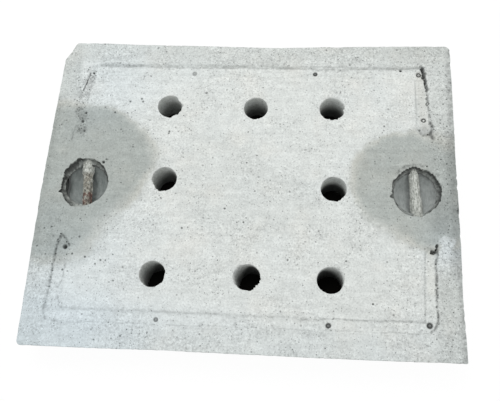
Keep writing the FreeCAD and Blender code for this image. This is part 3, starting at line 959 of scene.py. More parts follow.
for upper, side in zip(loop_numbers[len(holes):], SIDES):
    middle, angles, radii, soft = rims[side]
    rim_height = bowls[side][1][2]
    sphere, sphere_height = bowl_sphere(side)
    rim_reach = math.sqrt(sphere ** 2 - (rim_height - sphere_height) ** 2)
    collar = FLOATED_TOP - rim_height - LIP_THICKNESS
    circle = spread(middle, rim_reach, angles, 0.0)
    lap = RIM_LAP + 0.5 * lumps(circle, 5, 73) + 0.3 * lumps(circle, 2.4, 74)
    steep = np.zeros(len(angles))
    pale = np.zeros(len(angles))
    for direction, half_width, more, steepness, paleness in mortar_laps[side]:
        near = bump(angles, direction, half_width)
        lap += more * near
        steep += steepness * smooth_step(near, 0, 0.5)
        pale += paleness * near
    damp = dampness(circle[:, :2])
    for inward, fall, dirt_and_shade in COLLAR_RINGS:
        reach = radii + (rim_reach - lap - radii) * inward ** (1 + 3 * steep)
        wall = spread(middle, reach, angles, FLOATED_TOP - collar * fall)
        rough = 1.3 * lumps(wall, 7, 71) + 1.1 * lumps(wall, 3, 72)
        away_from_ends = smooth_step(fall, 0, 0.3) * (1 - smooth_step(fall, 0.93, 1.0))
        wall = spread(middle, reach + rough * away_from_ends, angles, wall[:, 2])
        wall[:, 2] += (0.5 * lumps(wall, 5, 75) + 0.4 * lumps(wall, 2.5, 77)) * smooth_step(fall, 0, 0.3)
        crumbs = np.minimum(pale, 1) * smooth_step(lumps(wall, 4, 79), -0.7, 0.2)
        dirt_and_shade = np.clip((dirt_and_shade + 0.2 * rough) * (1 - crumbs), 0, 0.9)
        upper = skin.hang(upper, wall, damp=damp, grime=dirt_and_shade, speckle=0.7)
    # Painted shade: the lip, the seat seen through the slit and the seat's pole are painted dark
    for reach in (rim_reach - lap + 0.3, np.maximum(rim_reach + 0.4, rim_reach - lap + 0.5)):
        lip = spread(middle, reach, angles, rim_height + LIP_GAP)
        upper = skin.hang(upper, lip, damp=1.0, grime=0.8)
    seat_sphere = sphere + SEAT_GAP
    for turn in np.radians(SEAT_TURNS):
        height = sphere_height - seat_sphere * math.cos(turn)
        seat = spread(middle, seat_sphere * math.sin(turn), angles, height)
        seat[:, 2] = np.minimum(seat[:, 2], rim_height - SEAT_DROP)
        upper = skin.hang(upper, seat, damp=1.0, grime=0.7)
    pole = skin.add([(*middle, sphere_height - sphere - SEAT_GAP)], damp=1.0, grime=1.0)
    skin.close(upper, int(pole[0]))
print("pockets lined,", skin.count, "points so far")

# %% The underside
UNDER_STEP = 16.0
UNDER_MARGIN = 8
placed = np.vstack(skin.points)
under_loops = [placed[numbers][:, :2] for numbers in feet + [side_foot]]
filling = staggered(UNDER_STEP)
keep = depth_into_slab(filling, under_loops[-1], True) > UNDER_MARGIN
for middle in holes.values():
    keep &= np.linalg.norm(filling - middle, axis=1) > HOLE_RADIUS + UNDER_MARGIN
filling = filling[keep]
under_height = 0.25 + 0.25 * lumps(filling, 60, 81)
under_points = skin.add(np.column_stack([filling, under_height]), grime=0.2, speckle=0.5)
triangles = sheet(under_loops, filling)[1]
under_numbers = np.concatenate(feet + [side_foot, under_points])
skin.faces.extend(under_numbers[triangles].tolist())
slab = add_piece("cast_slab", skin.mesh("cast_slab"))

# %% [markdown]
# ## The bowls
#
# Each bowl is a thin plastic dish that shaped the pocket and stayed in it. It is a sphere's lower part,
# closed round a thin wall, with its rim slightly out of round. The left one was pressed in on one side.

# %% Thin dishes
BAR_RADIUS = 8.0
DISH_REACH = 40
DISH_STEP = 1.6
DISH_GAP = 0.05
# Shares of the way from the pole to the rim
DISH_SHARES = np.linspace(0.06, 1, 22)


def bar_lean(side):
    """Angle between a bar and the slab's short side."""
    low, high = bars[side]
    return math.atan2(high[0] - low[0] - 2 * BAR_RADIUS, high[1] - low[1])


def make_bowl(side):
    """One bowl: its inside and its outside, joined round the rim."""
    shell = Skin()
    middle = pockets[side]
    angles = even_angles(DISH_REACH, DISH_STEP)
    sphere, sphere_height = bowl_sphere(side)
    rim_height = bowls[side][1][2]
    direction, half_width, most = bowl_dents[side]
    dent = most * bump(angles, direction, half_width)
    shaded, shade_width, darkness, shift = bowl_shades[side]
    slope = math.tan(bar_lean(side))
    surfaces = []
    for radius in (sphere - BOWL_WALL, sphere - DISH_GAP):
        rim_turn = math.acos((sphere_height - rim_height) / radius)
        pole = shell.add([(*middle, sphere_height - radius)])
        previous = None
        for share in DISH_SHARES:
            turn = share * rim_turn
            height = sphere_height - radius * math.cos(turn)
            circle = spread(middle, radius * math.sin(turn), angles, height)
            flaw = 0.12 * lumps(circle, 14, 76) - 0.12
            reach = radius * math.sin(turn) - dent * smooth_step(share, 0.62, 1.0) + flaw * share
            # Painted shade: darker near the rim under the lap, on one side and below the bar; rim and hidden
            # outside black
            dirt_and_shade = 0.5 * smooth_step(share + 0.06 * lumps(circle, 7, 78), 0.82, 1.0)
            dirt_and_shade += darkness * share * bump(angles, shaded, shade_width)
            across = circle[:, 0] - middle[0] + slope * (circle[:, 1] - middle[1]) - shift
            dirt_and_shade += 0.45 * (1 - smooth_step(np.abs(across) + 2 * lumps(circle, 9, 79), 7, 14))
            if share == 1 or radius > sphere - 1:
                dirt_and_shade = 1.0
            numbers = shell.add(spread(middle, reach, angles, height), grime=dirt_and_shade)
            if previous is None:
                shell.close(numbers, int(pole[0]))
            else:
                shell.join(previous, numbers)
            previous = numbers
        surfaces.append(previous)
    shell.join(*surfaces)
    return add_piece(f"{side}_dish", shell.mesh(f"{side}_dish"))


dishes = {side: make_bowl(side) for side in SIDES}

# %% [markdown]
# ## Finishes
#
# One small function adds a node, sets it and links it. Others use it for what repeats: a sum, a range, a
# mix of two colours, a noise. Colours are written as they look on a screen and turned into the linear
# values that Blender works with. The scale of each pattern comes from a size in millimetres.

# %% Colour and node helpers
def colour(code):
    """A colour such as "#d2d6d0" in linear values, with full opacity."""
    parts = [int(code[start:start + 2], 16) / 255 for start in (1, 3, 5)]
    linear = [part / 12.92 if part <= 0.04045 else ((part + 0.055) / 1.055) ** 2.4 for part in parts]
    return (*linear, 1.0)


def per_metre(millimetres):
    """The scale that gives a pattern features of this size."""
    return 1 / (millimetres * MILLIMETRE)


def add_node(tree, kind, inputs=None, **settings):
    """Add a node with its settings. Each input is a value, or another node's output to link."""
    node = tree.nodes.new(kind)
    for name, value in settings.items():
        setattr(node, name, value)
    for name, value in (inputs or {}).items():
        if isinstance(value, bpy.types.NodeSocket):
            tree.links.new(value, node.inputs[name])
        else:
            node.inputs[name].default_value = value
    return node


def compute(tree, operation, *values):
    """The result of one operation on numbers."""
    return add_node(tree, "ShaderNodeMath", dict(enumerate(values)), operation=operation).outputs[0]


def vector(tree, operation, *values):
    """The results of one operation on vectors."""
    return add_node(tree, "ShaderNodeVectorMath", dict(enumerate(values)), operation=operation).outputs


def times(tree, first, *others):
    """The product of all the factors."""
    for factor in others:
        first = compute(tree, "MULTIPLY", first, factor)
    return first


def carried(tree, value, start, finish, low=0.0, high=1.0, smooth=False):
    """A value between start and finish, carried over to between low and high."""
    inputs = {"Value": value, "From Min": start, "From Max": finish, "To Min": low, "To Max": high}
    kind = "SMOOTHSTEP" if smooth else "LINEAR"
    return add_node(tree, "ShaderNodeMapRange", inputs, interpolation_type=kind).outputs[0]


def blend(tree, share, one, two, kind="MIX"):
    """Two colours, mixed by a share."""
    inputs = {0: share, 6: one, 7: two}
    return add_node(tree, "ShaderNodeMix", inputs, data_type="RGBA", blend_type=kind).outputs[2]


def noise(tree, place, width, detail, roughness=0.5):
    """Smooth noise in lumps about this many millimetres wide."""
    inputs = {"Vector": place, "Scale": per_metre(width), "Detail": detail, "Roughness": roughness}
    return add_node(tree, "ShaderNodeTexNoise", inputs).outputs["Fac"]


def stretched(tree, place, scale, turn=0.0):
    """The place, turned about the vertical and scaled, so that a pattern is drawn out."""
    inputs = {"Vector": place, "Rotation": (0, 0, turn), "Scale": scale}
    return add_node(tree, "ShaderNodeMapping", inputs).outputs[0]


def mark(tree, name):
    """A mark that the mesh carries."""
    return add_node(tree, "ShaderNodeAttribute", attribute_name=name).outputs["Fac"]


def object_place(tree):
    """The place on the object, in its own frame."""
    return add_node(tree, "ShaderNodeTexCoord").outputs["Object"]


def new_material(name):
    """A material with its tree emptied, and that tree."""
    material = bpy.data.materials.new(name)
    material.use_nodes = True
    material.node_tree.nodes.clear()
    return material, material.node_tree


def show(tree, shader, output="ShaderNodeOutputMaterial"):
    """End a tree in a shader."""
    add_node(tree, output, {"Surface": shader.outputs[0]})


# %% [markdown]
# ### Trowelled concrete
#
# Portland cement with sand, floated by hand. The eye sees a pale grey with cool and warm clouds, a painted
# cool tint of the light, fine grain, dark specks where sand or small pores show, darker damp patches, grime,
# and painted shade in every hollow.

# %% Concrete
TROWEL_SWEEP = math.radians(-22)
# Size of the cells in millimetres, and largest share of a cell that a speck takes up
SPECK_CELLS = [(9.0, 0.26), (4.6, 0.32), (2.9, 0.36)]


def concrete_tint(tree, place):
    """The pale grey with its clouds, a painted cool tint of the light, brown patches and damp patches."""
    clouds = carried(tree, noise(tree, place, 60, 4.0), 0.5, 0.75, high=0.6)
    tint = blend(tree, clouds, colour("#dfe3e0"), colour("#e5e5df"))
    # Painted cool light: the grey turns bluer where this mark is high
    tint = blend(tree, mark(tree, "cool"), tint, colour("#d9e3e7"))
    tint = blend(tree, mark(tree, "warm"), tint, colour("#e2dfd3"))
    wet = blend(tree, mark(tree, "damp"), (1, 1, 1, 1), colour("#c7cac8"))
    return blend(tree, 1.0, tint, wet, "MULTIPLY")


def concrete_tone(tree, place, grain, speckle):
    """How light it is: mottle, grain, the trowel's sweep, blotches and grit."""
    mottle = noise(tree, place, 14, 6.0, 0.62)
    sweep = noise(tree, stretched(tree, place, (0.12, 1.0, 1.0), TROWEL_SWEEP), 8, 3.0)
    patterns = [(mottle, 0.90, 1.06), (grain, 0.80, 1.10), (sweep, 0.95, 1.05)]
    tones = [carried(tree, pattern, 0.3, 0.7, low, high) for pattern, low, high in patterns]
    deepest = carried(tree, speckle, 0.1, 0.8, 0.97, 0.72)
    blotch = carried(tree, noise(tree, place, 6.5, 4.0, 0.65), 0.52, 0.7, 1.0, deepest)
    grit = carried(tree, noise(tree, place, 4.4, 3.0, 0.7), 0.3, 0.7, -0.27, 0.2)
    harsh = carried(tree, speckle, 0.0, 1.0, 0.1, 1.0)
    return times(tree, *tones, blotch, compute(tree, "MULTIPLY_ADD", grit, harsh, 1.0))


def concrete_specks(tree, place, speckle):
    """1, and less in the specks, which come in three sizes."""
    rarity = carried(tree, speckle, 0.0, 1.0, 0.62, 0.05)
    specks = 1.0
    for cell, largest in SPECK_CELLS:
        cells = add_node(tree, "ShaderNodeTexVoronoi", {"Vector": place, "Scale": per_metre(cell)})
        chance = add_node(tree, "ShaderNodeSeparateColor", {"Color": cells.outputs["Color"]}).outputs
        size = carried(tree, chance[0], rarity, 1.0, 0.0, largest)
        near = compute(tree, "SUBTRACT", size, cells.outputs["Distance"])
        darkest = carried(tree, chance[1], 0.0, 1.0, 0.38, 0.86)
        specks = times(tree, specks, carried(tree, near, -0.02, 0.12, 1.0, darkest))
    return specks


def make_concrete():
    """The slab's finish."""
    material, tree = new_material("trowelled_concrete")
    place = object_place(tree)
    speckle = mark(tree, "speckle")
    grain = noise(tree, place, 3.4, 3.0, 0.75)
    specks = concrete_specks(tree, place, speckle)
    # Darkening from dirt and from painted shade in the hollows, gaps and pits
    dirt_and_shade = compute(tree, "MAXIMUM", mark(tree, "grime"), mark(tree, "pit"))
    clear_of_dirt_and_shade = carried(tree, dirt_and_shade, 0.0, 1.0, 1.0, 0.1)
    tone = times(tree, concrete_tone(tree, place, grain, speckle), specks, clear_of_dirt_and_shade)
    base = blend(tree, 1.0, concrete_tint(tree, place), tone, "MULTIPLY")
    height = compute(tree, "ADD", grain, specks)
    relief = add_node(tree, "ShaderNodeBump", {"Height": height, "Strength": 0.5, "Distance": 0.0006})
    show(tree, add_node(tree, "ShaderNodeBsdfPrincipled", {
        "Base Color": base, "Roughness": 0.9, "Specular IOR Level": 0.25, "Normal": relief.outputs[0]}))
    return material


concrete = make_concrete()
print("finish", concrete.name, len(concrete.node_tree.nodes), "nodes")

# %% [markdown]
# ### Bowl plastic and bar steel
#
# The bowls are smooth grey plastic, dulled by cement dust. The bars are ribbed reinforcing steel under a
# thin crust of cement, with rust where the crust has come off.

# %% Bowl plastic
def make_bowl_plastic():
    """The bowls' finish."""
    material, tree = new_material("dusty_grey_plastic")
    place = object_place(tree)
    across = add_node(tree, "ShaderNodeSeparateXYZ", {0: place}).outputs[0]
    dust = carried(tree, noise(tree, place, 12, 8.0, 0.72), 0.32, 0.68, -0.15, 0.6)
    right_side = carried(tree, across, -0.1, 0.1, 0.0, 0.6)
    base = blend(tree, compute(tree, "ADD", dust, right_side), colour("#8b9391"), colour("#bfc4c2"))
    wipes = noise(tree, stretched(tree, place, (1.0, 0.25, 1.0)), 4, 4.0, 0.65)
    wiped = carried(tree, wipes, 0.35, 0.65, 0.84, 1.08)
    # Darkening from dirt and from painted shade on the dish
    clear_of_dirt_and_shade = carried(tree, mark(tree, "grime"), 0.0, 1.0, 1.0, 0.12)
    for tone in (wiped, clear_of_dirt_and_shade):
        base = blend(tree, 1.0, base, tone, "MULTIPLY")
    show(tree, add_node(tree, "ShaderNodeBsdfPrincipled", {"Base Color": base, "Roughness": 0.62}))
    return material


bowl_plastic = make_bowl_plastic()
print("finish", bowl_plastic.name, len(bowl_plastic.node_tree.nodes), "nodes")


# %% Crusted bar steel
def make_bar_steel():
    """The bars' finish."""
    material, tree = new_material("crusted_bar_steel")
    place = object_place(tree)
    blotch = noise(tree, stretched(tree, place, (1.0, 0.3, 1.0)), 2.6, 5.0, 0.72)
    contrast = carried(tree, blotch, 0.38, 0.6)
    bare = blend(tree, contrast, colour("#5e5c54"), colour("#b6b4a8"))
    crusted = blend(tree, contrast, colour("#82867f"), colour("#d2d5cf"))
    rusty = blend(tree, contrast, colour("#4d3a34"), colour("#94796f"))
    base = blend(tree, mark(tree, "crust"), bare, crusted)
    base = blend(tree, mark(tree, "rust"), base, rusty)
    # Painted shade between the ribs and the crust's lumps, from how high the surface rises
    hollow_shade = carried(tree, mark(tree, "rise"), 0.0, 0.45, 0.45, 1.0)
    base = blend(tree, 1.0, base, hollow_shade, "MULTIPLY")
    relief = add_node(tree, "ShaderNodeBump", {"Height": blotch, "Strength": 0.6, "Distance": 0.0008})
    show(tree, add_node(tree, "ShaderNodeBsdfPrincipled", {
        "Base Color": base, "Roughness": 0.8, "Normal": relief.outputs[0]}))
    return material


bar_steel = make_bar_steel()
print("finish", bar_steel.name, len(bar_steel.node_tree.nodes), "nodes")

# %% [markdown]
# ## Pressing the pits
#
# Pits repeat over a surface, so a node tree presses them in. It finds the nearest pit for each point of the
# The pits' painted shade, with a dark mark in the middle of some prints, is kept as an attribute, so that
# the finish can darken them.
# The depth is kept as an attribute, so that the finish can darken the pits.

# %% A tree with named inputs, and its use on a piece
def new_tree(name, sockets):
    """An empty geometry tree that takes and gives a mesh, and what its input node gives."""
    tree = bpy.data.node_groups.new(name, "GeometryNodeTree")
    tree.is_modifier = True
    tree.interface.new_socket("Geometry", in_out="INPUT", socket_type="NodeSocketGeometry")
    tree.interface.new_socket("Geometry", in_out="OUTPUT", socket_type="NodeSocketGeometry")
    for socket, kind in sockets:
        tree.interface.new_socket(socket, in_out="INPUT", socket_type=f"NodeSocket{kind}")
    return tree, add_node(tree, "NodeGroupInput").outputs


def stored(tree, geometry, name, value, domain="POINT"):
    """The geometry, with a value kept on it as an attribute."""
    inputs = {"Geometry": geometry, "Name": name, "Value": value}
    keeper = add_node(tree, "GeometryNodeStoreNamedAttribute", inputs, data_type="FLOAT", domain=domain)
    return keeper.outputs[0]


def finish_tree(tree, given, geometry):
    """End a tree by making its copies real and giving them the finish."""
    real = add_node(tree, "GeometryNodeRealizeInstances", {"Geometry": geometry}).outputs[0]
    dressed = add_node(tree, "GeometryNodeSetMaterial", {"Geometry": real, "Material": given["Finish"]})
    add_node(tree, "NodeGroupOutput", {0: dressed.outputs[0]})


def grown(piece, tree, values):
    """Give a piece the mesh that a tree makes of it with these values."""
    modifier = piece.modifiers.new(tree.name, "NODES")
    modifier.node_group = tree
    for item in tree.interface.items_tree:
        if item.item_type == "SOCKET" and item.in_out == "INPUT" and item.name in values:
            modifier[item.identifier] = values[item.name]
    piece.update_tag()
    bpy.context.view_layer.update()
    seen = piece.evaluated_get(bpy.context.evaluated_depsgraph_get())
    mesh = bpy.data.meshes.new_from_object(seen)
    piece.modifiers.clear()
    old = piece.data
    piece.data = mesh
    bpy.data.meshes.remove(old)
    print(piece.name, tree.name, len(mesh.vertices), "points")


# %% Press pits and prints into the slab
def pit_markers():
    """A point for each pit, on the slab's top, with its sizes as attributes."""
    heights = top_height(all_pits[:, :2])
    mesh = bpy.data.meshes.new("pit_markers")
    mesh.from_pydata((np.column_stack([all_pits[:, :2], heights]) * MILLIMETRE).tolist(), [], [])
    columns = {"radius": all_pits[:, 2] * MILLIMETRE, "depth": all_pits[:, 3] * MILLIMETRE,
               "darkness": all_pits[:, 4], "ring": ring_mark, "middle": middle_share}
    for name, values in columns.items():
        layer = mesh.attributes.new(name, "FLOAT", "POINT")
        layer.data.foreach_set("value", values.astype(np.float32))
    return add_piece("pit_markers", mesh)


def nearest_pit(tree, pits, here):
    """Middle of the pit nearest to a place, and what is kept on its marker."""
    inputs = {"Geometry": pits, "Sample Position": here}
    nearest = add_node(tree, "GeometryNodeSampleNearest", inputs).outputs[0]
    inputs = {"Geometry": pits, "Value": here, "Index": nearest}
    middle = add_node(tree, "GeometryNodeSampleIndex", inputs, data_type="FLOAT_VECTOR").outputs[0]
    kept = {}
    for name in ("radius", "depth", "darkness", "ring", "middle"):
        value = add_node(tree, "GeometryNodeInputNamedAttribute", {"Name": name}, data_type="FLOAT")
        inputs = {"Geometry": pits, "Value": value.outputs[0], "Index": nearest}
        kept[name] = add_node(tree, "GeometryNodeSampleIndex", inputs, data_type="FLOAT").outputs[0]
    return middle, kept


def make_pit_tree():
    """The tree that presses the nearest pit into each point of the slab."""
    tree, given = new_tree("press_pits", [("Pits", "Object"), ("Finish", "Material")])
    pits = add_node(tree, "GeometryNodeObjectInfo", {"Object": given["Pits"]}).outputs["Geometry"]
    here = add_node(tree, "GeometryNodeInputPosition").outputs[0]
    middle, pit = nearest_pit(tree, pits, here)
    away = vector(tree, "DISTANCE", here, middle)["Value"]
    share = compute(tree, "DIVIDE", away, pit["radius"])
    dish = carried(tree, share, 1.05, 0.5, smooth=True)
    off_ring = compute(tree, "ABSOLUTE", compute(tree, "SUBTRACT", share, 0.7))
    groove = carried(tree, off_ring, 0.4, 0.12, smooth=True)
    form = add_node(tree, "ShaderNodeMix", {0: pit["ring"], 2: dish, 3: groove}).outputs[0]
    disc = carried(tree, share, 1.05, 0.85, high=pit["middle"])
    # Painted shade in the pit's hollow and the print's groove, and a dark mark in a print's middle
    dark = times(tree, compute(tree, "MAXIMUM", form, disc), pit["darkness"])
    down = times(tree, form, pit["depth"], -1.0)
    offset = add_node(tree, "ShaderNodeCombineXYZ", {2: down}).outputs[0]
    marked = stored(tree, given["Geometry"], "pit", dark)
    pressed = add_node(tree, "GeometryNodeSetPosition", {"Geometry": marked, "Offset": offset})
    finish_tree(tree, given, pressed.outputs[0])
    return tree


markers = pit_markers()
grown(slab, make_pit_tree(), {"Pits": markers, "Finish": concrete})
bpy.data.objects.remove(markers)

# %% [markdown]
# ## The lifting bars
#
# A reinforcing bar is rolled with slanted crescent ribs between two ribs along it. That is a rule along a
# path, so a tree makes the bar from a plain cylinder: it lifts the ribs, adds a crust of cement, and marks
# crust and rust for the finish. Crumbs of mortar are strewn over the crust.

# %% Ribs, crust, rust and crumbs
CORE_RADIUS = 7.2
RIB_PITCH = 8.5
RIB_TURNS = 1.7
CRUMB_RADIUS = 1.0


def ribs(tree, given, axes):
    """Height of the ribs: slanted crescents on both flanks, and a rib along each side between them."""
    angle = compute(tree, "ARCTAN2", axes[1], axes[0])
    flank = compute(tree, "ABSOLUTE", compute(tree, "SINE", angle))
    pitches = compute(tree, "DIVIDE", axes[2], given["Rib Pitch"])
    slant = compute(tree, "MULTIPLY_ADD", angle, RIB_TURNS / math.pi, pitches)
    wave = compute(tree, "COSINE", times(tree, slant, 2 * math.pi))
    crescent = times(tree, carried(tree, wave, 0.35, 0.9, smooth=True), flank)
    long_rib = carried(tree, flank, 0.2, 0.08, smooth=True)
    return times(tree, compute(tree, "MAXIMUM", crescent, long_rib), given["Rib Height"])


def crusts(tree, given, along, moved, scabs):
    """How crusted the bar is, and how high the crust. One end is thickly covered."""
    full = compute(tree, "ADD", given["Bare Share"], 0.14)
    crust = carried(tree, scabs, given["Bare Share"], full, smooth=True)
    beyond = compute(tree, "SUBTRACT", times(tree, along, given["Crusted End"]), given["Crusted From"])
    covered = carried(tree, beyond, 0.0, 0.01, smooth=True)
    crust = compute(tree, "MAXIMUM", crust, covered)
    rough = carried(tree, noise(tree, moved, 2.4, 2.0), 0.3, 0.7, 0.0, 0.7)
    scab = compute(tree, "MULTIPLY_ADD", covered, 1.5, compute(tree, "ADD", crust, rough))
    return crust, times(tree, scab, given["Crust Height"])


def rusts(tree, given, along, moved, scabs, crust):
    """Rust in flakes on one stretch, a little less on the crust."""
    edge = compute(tree, "MULTIPLY_ADD", scabs, 0.03, along)
    after = compute(tree, "GREATER_THAN", edge, given["Rust From"])
    before = compute(tree, "LESS_THAN", edge, given["Rust To"])
    flaked = carried(tree, noise(tree, moved, 11, 4.0), 0.34, 0.46)
    bare = compute(tree, "MULTIPLY_ADD", crust, -0.15, 1.0)
    return times(tree, after, before, flaked, bare)


def crumbs_on(tree, given, bar):
    """Crumbs of mortar strewn over the bar, as pale as its crust."""
    strewn = add_node(tree, "GeometryNodeDistributePointsOnFaces", {
        "Mesh": bar, "Density": given["Crumbs"], "Seed": given["Seed"]})
    crumb = add_node(tree, "GeometryNodeMeshIcoSphere", {
        "Radius": CRUMB_RADIUS * MILLIMETRE, "Subdivisions": 1})
    sizes = add_node(tree, "FunctionNodeRandomValue", {2: 0.4, 3: 1.3, "Seed": given["Seed"]})
    crumbs = add_node(tree, "GeometryNodeInstanceOnPoints", {
        "Points": strewn.outputs["Points"], "Instance": crumb.outputs[0],
        "Scale": sizes.outputs[1]}).outputs[0]
    for name in ("crust", "rise"):
        crumbs = stored(tree, crumbs, name, 0.8, "INSTANCE")
    return crumbs


# %% Roll a ribbed, crusted bar
def make_bar_tree():
    """The tree that rolls a bar from a plain cylinder and sets it down in its place."""
    numbers = ("Length", "Radius", "Rib Height", "Rib Pitch", "Crust Height", "Bare Share", "Crusted End",
               "Crusted From", "Rust From", "Rust To", "Crumbs")
    others = [("Seed", "Int"), ("Place", "Vector"), ("Turn", "Rotation"), ("Finish", "Material")]
    tree, given = new_tree("roll_bar", [(name, "Float") for name in numbers] + others)
    core = add_node(tree, "GeometryNodeMeshCylinder", {
        "Vertices": 72, "Side Segments": 300, "Fill Segments": 3, "Radius": given["Radius"],
        "Depth": given["Length"]})
    here = add_node(tree, "GeometryNodeInputPosition").outputs[0]
    axes = add_node(tree, "ShaderNodeSeparateXYZ", {0: here}).outputs
    along = axes[2]
    shift = add_node(tree, "ShaderNodeCombineXYZ", {0: given["Seed"]}).outputs[0]
    drawn_out = vector(tree, "MULTIPLY", here, (1.0, 1.0, 0.6))[0]
    moved = vector(tree, "ADD", drawn_out, shift)[0]
    scabs = noise(tree, moved, 7, 3.0)
    crust, scab = crusts(tree, given, along, moved, scabs)
    lift = compute(tree, "ADD", ribs(tree, given, axes), scab)
    rise = compute(tree, "DIVIDE", lift, compute(tree, "ADD", given["Rib Height"], given["Crust Height"]))
    marks = {"crust": crust, "rust": rusts(tree, given, along, moved, scabs, crust), "rise": rise}
    marked = core.outputs["Mesh"]
    for name, value in marks.items():
        marked = stored(tree, marked, name, value)
    radial = vector(tree, "MULTIPLY", here, (1.0, 1.0, 0.0))[0]
    share = compute(tree, "DIVIDE", lift, given["Radius"])
    offset = add_node(tree, "ShaderNodeVectorMath", {0: radial, "Scale": share}, operation="SCALE")
    inputs = {"Geometry": marked, "Offset": offset.outputs[0]}
    rolled = add_node(tree, "GeometryNodeSetPosition", inputs).outputs[0]
    both = add_node(tree, "GeometryNodeJoinGeometry")
    for part in (crumbs_on(tree, given, rolled), rolled):
        tree.links.new(part, both.inputs[0])
    set_down = add_node(tree, "GeometryNodeTransform", {
        "Geometry": both.outputs[0], "Translation": given["Place"], "Rotation": given["Turn"]})
    finish_tree(tree, given, set_down.outputs[0])
    return tree


bar_tree = make_bar_tree()
rolled_bars = {}
bar_habits = {
    "left": {"Rib Height": 0.0012, "Crust Height": 0.0011, "Bare Share": 0.52, "Crusted End": 1.0,
             "Crusted From": 0.018, "Rust From": -0.040, "Rust To": -0.004, "Crumbs": 14000.0, "Seed": 3},
    "right": {"Rib Height": 0.0005, "Crust Height": 0.0012, "Bare Share": 0.22, "Crusted End": -1.0,
              "Crusted From": 0.004, "Rust From": 1.0, "Rust To": 1.0, "Crumbs": 6000.0, "Seed": 8},
}
for side, habits in bar_habits.items():
    low, high = bars[side]
    lean = bar_lean(side)
    length = (high[1] - low[1] - 2 * BAR_RADIUS * math.sin(lean)) / math.cos(lean)
    middle = (low + high) / 2 * MILLIMETRE
    piece = add_piece(f"{side}_ribbed_bar", bpy.data.meshes.new(f"{side}_ribbed_bar"))
    grown(piece, bar_tree, {
        "Length": length * MILLIMETRE, "Radius": CORE_RADIUS * MILLIMETRE,
        "Rib Pitch": RIB_PITCH * MILLIMETRE, "Place": tuple(middle),
        "Turn": (-math.pi / 2, 0.0, lean), "Finish": bar_steel, **habits})
    rolled_bars[side] = piece

# %% [markdown]
# ## Dressing the model
#
# Each piece rides on the one body and replaces the measured solid of the same name.

# %% Hand the pieces over
SHARP_ANGLE = math.radians(45)
for side in SIDES:
    dishes[side].data.materials.append(bowl_plastic)
handover = [(slab, "cover_slab", "concrete")]
for side in SIDES:
    handover.append((dishes[side], f"{side}_pocket_bowl", "bowl_plastic"))
    handover.append((rolled_bars[side], f"{side}_lift_bar", "bar_steel"))
for piece, node, slot in handover:
    piece.data.shade_smooth()
    piece.data.set_sharp_from_angle(angle=SHARP_ANGLE)
    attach(piece, "root")
    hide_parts(node)
print("pieces", [piece.name for piece, node, slot in handover])

# %% [markdown]
# ## Camera, light and floor
#
# The picture was taken from above the near edge, a little to the right. Focal length and place were
# worked out from the slab's corners and holes in the picture. The light is a soft, even sky with a broad
# lamp behind. The floor is white to the camera and keeps a trace of the slab's shadow.

# %% Camera
PICTURE_WIDTH = 500
FOCAL_PIXELS = 654.04
SENSOR_WIDTH = 36.0
CAMERA_PLACE = Vector((0.0976, -0.4201, 1.1823))
CAMERA_AIM = Vector((0.0098, -0.0267, 0.075))
CAMERA_ROLL = math.radians(-3.073)
camera_data = bpy.data.cameras.new("camera")
camera_data.sensor_width = SENSOR_WIDTH
camera_data.lens = FOCAL_PIXELS / PICTURE_WIDTH * SENSOR_WIDTH
camera = bpy.data.objects.new("camera", camera_data)
bpy.context.scene.collection.objects.link(camera)
ahead = (CAMERA_AIM - CAMERA_PLACE).normalized()
level_up = ahead.cross(Vector((0, 1, 0))).cross(ahead).normalized()
up = Matrix.Rotation(CAMERA_ROLL, 3, ahead) @ level_up
turn = Matrix((ahead.cross(up), up, -ahead)).transposed()
camera.matrix_world = Matrix.Translation(CAMERA_PLACE) @ turn.to_4x4()
bpy.context.scene.camera = camera
print("camera", tuple(CAMERA_PLACE), "lens", camera_data.lens)


# %% Light
def seen_directly(tree):
    """1 for rays that show a surface itself: from the camera, or by a mirror or glass."""
    rays = add_node(tree, "ShaderNodeLightPath")
    seen = rays.outputs["Is Camera Ray"]
    for kind in ("Is Glossy Ray", "Is Transmission Ray"):
        seen = compute(tree, "MAXIMUM", seen, rays.outputs[kind])
    return seen


SKY_STRENGTH = 0.72
LAMP_WIDTH = 1.6
LAMP_POWER = 23.0
LAMP_PLACE = (-0.25, 0.8, 2.4)
world = bpy.data.worlds.new("even_sky")
world.use_nodes = True
sky_tree = world.node_tree
sky_tree.nodes.clear()
strength = carried(sky_tree, seen_directly(sky_tree), 0.0, 1.0, SKY_STRENGTH, 1.0)
sky = add_node(sky_tree, "ShaderNodeBackground", {"Color": (1, 1, 1, 1), "Strength": strength})
show(sky_tree, sky, "ShaderNodeOutputWorld")
bpy.context.scene.world = world

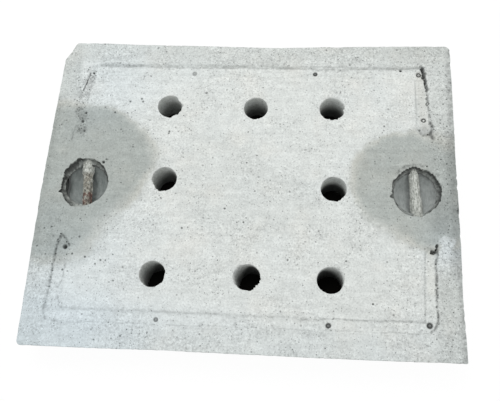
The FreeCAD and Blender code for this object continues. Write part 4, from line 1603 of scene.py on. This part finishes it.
lamp_data = bpy.data.lights.new("broad_lamp", "AREA")
lamp_data.shape = "DISK"
lamp_data.size = LAMP_WIDTH
lamp_data.energy = LAMP_POWER
lamp = bpy.data.objects.new("broad_lamp", lamp_data)
lamp.location = LAMP_PLACE
lamp.rotation_euler = (-lamp.location).to_track_quat("-Z", "Y").to_euler()
bpy.context.scene.collection.objects.link(lamp)
print("lamp", LAMP_PLACE, "sky", SKY_STRENGTH)

# %% Floor
FLOOR_HALF = 20.0
FLOOR_HEIGHT = -0.0006
SHADE_PAD_HALVES = (0.35, 0.27)
SHADE_PAD_HEIGHT = -0.0003
SHADOW_SHARE = 0.07
SQUARE = ((-1, -1), (1, -1), (1, 1), (-1, 1))


def flat_square(name, half_x, half_y, height, material):
    """Add a flat piece to the stage."""
    corners = [(x * half_x, y * half_y, height) for x, y in SQUARE]
    mesh = bpy.data.meshes.new(name)
    mesh.from_pydata(corners, [], [(0, 1, 2, 3)])
    mesh.materials.append(material)
    add_piece(name, mesh)


def make_floor_paint():
    """White to the camera, with a trace of the shadow."""
    material, tree = new_material("white_floor")
    share = times(tree, seen_directly(tree), 1 - SHADOW_SHARE)
    paint = add_node(tree, "ShaderNodeBsdfDiffuse", {"Color": (0.9, 0.9, 0.9, 1)}).outputs[0]
    white = add_node(tree, "ShaderNodeEmission", {"Color": (1, 1, 1, 1), "Strength": 1.02}).outputs[0]
    show(tree, add_node(tree, "ShaderNodeMixShader", {0: share, 1: paint, 2: white}))
    return material


def make_shade_pad_paint():
    """A dark sheet under the cover, painted shade that is seen through the holes."""
    material, tree = new_material("shade_pad_paint")
    show(tree, add_node(tree, "ShaderNodeBsdfDiffuse", {"Color": colour("#1c1b19")}))
    return material


flat_square("floor", FLOOR_HALF, FLOOR_HALF, FLOOR_HEIGHT, make_floor_paint())
# Painted shade: a dark sheet under the cover, seen through the holes
flat_square("ground_under_cover", *SHADE_PAD_HALVES, SHADE_PAD_HEIGHT, make_shade_pad_paint())

bpy.context.scene.view_settings.view_transform = "Standard"
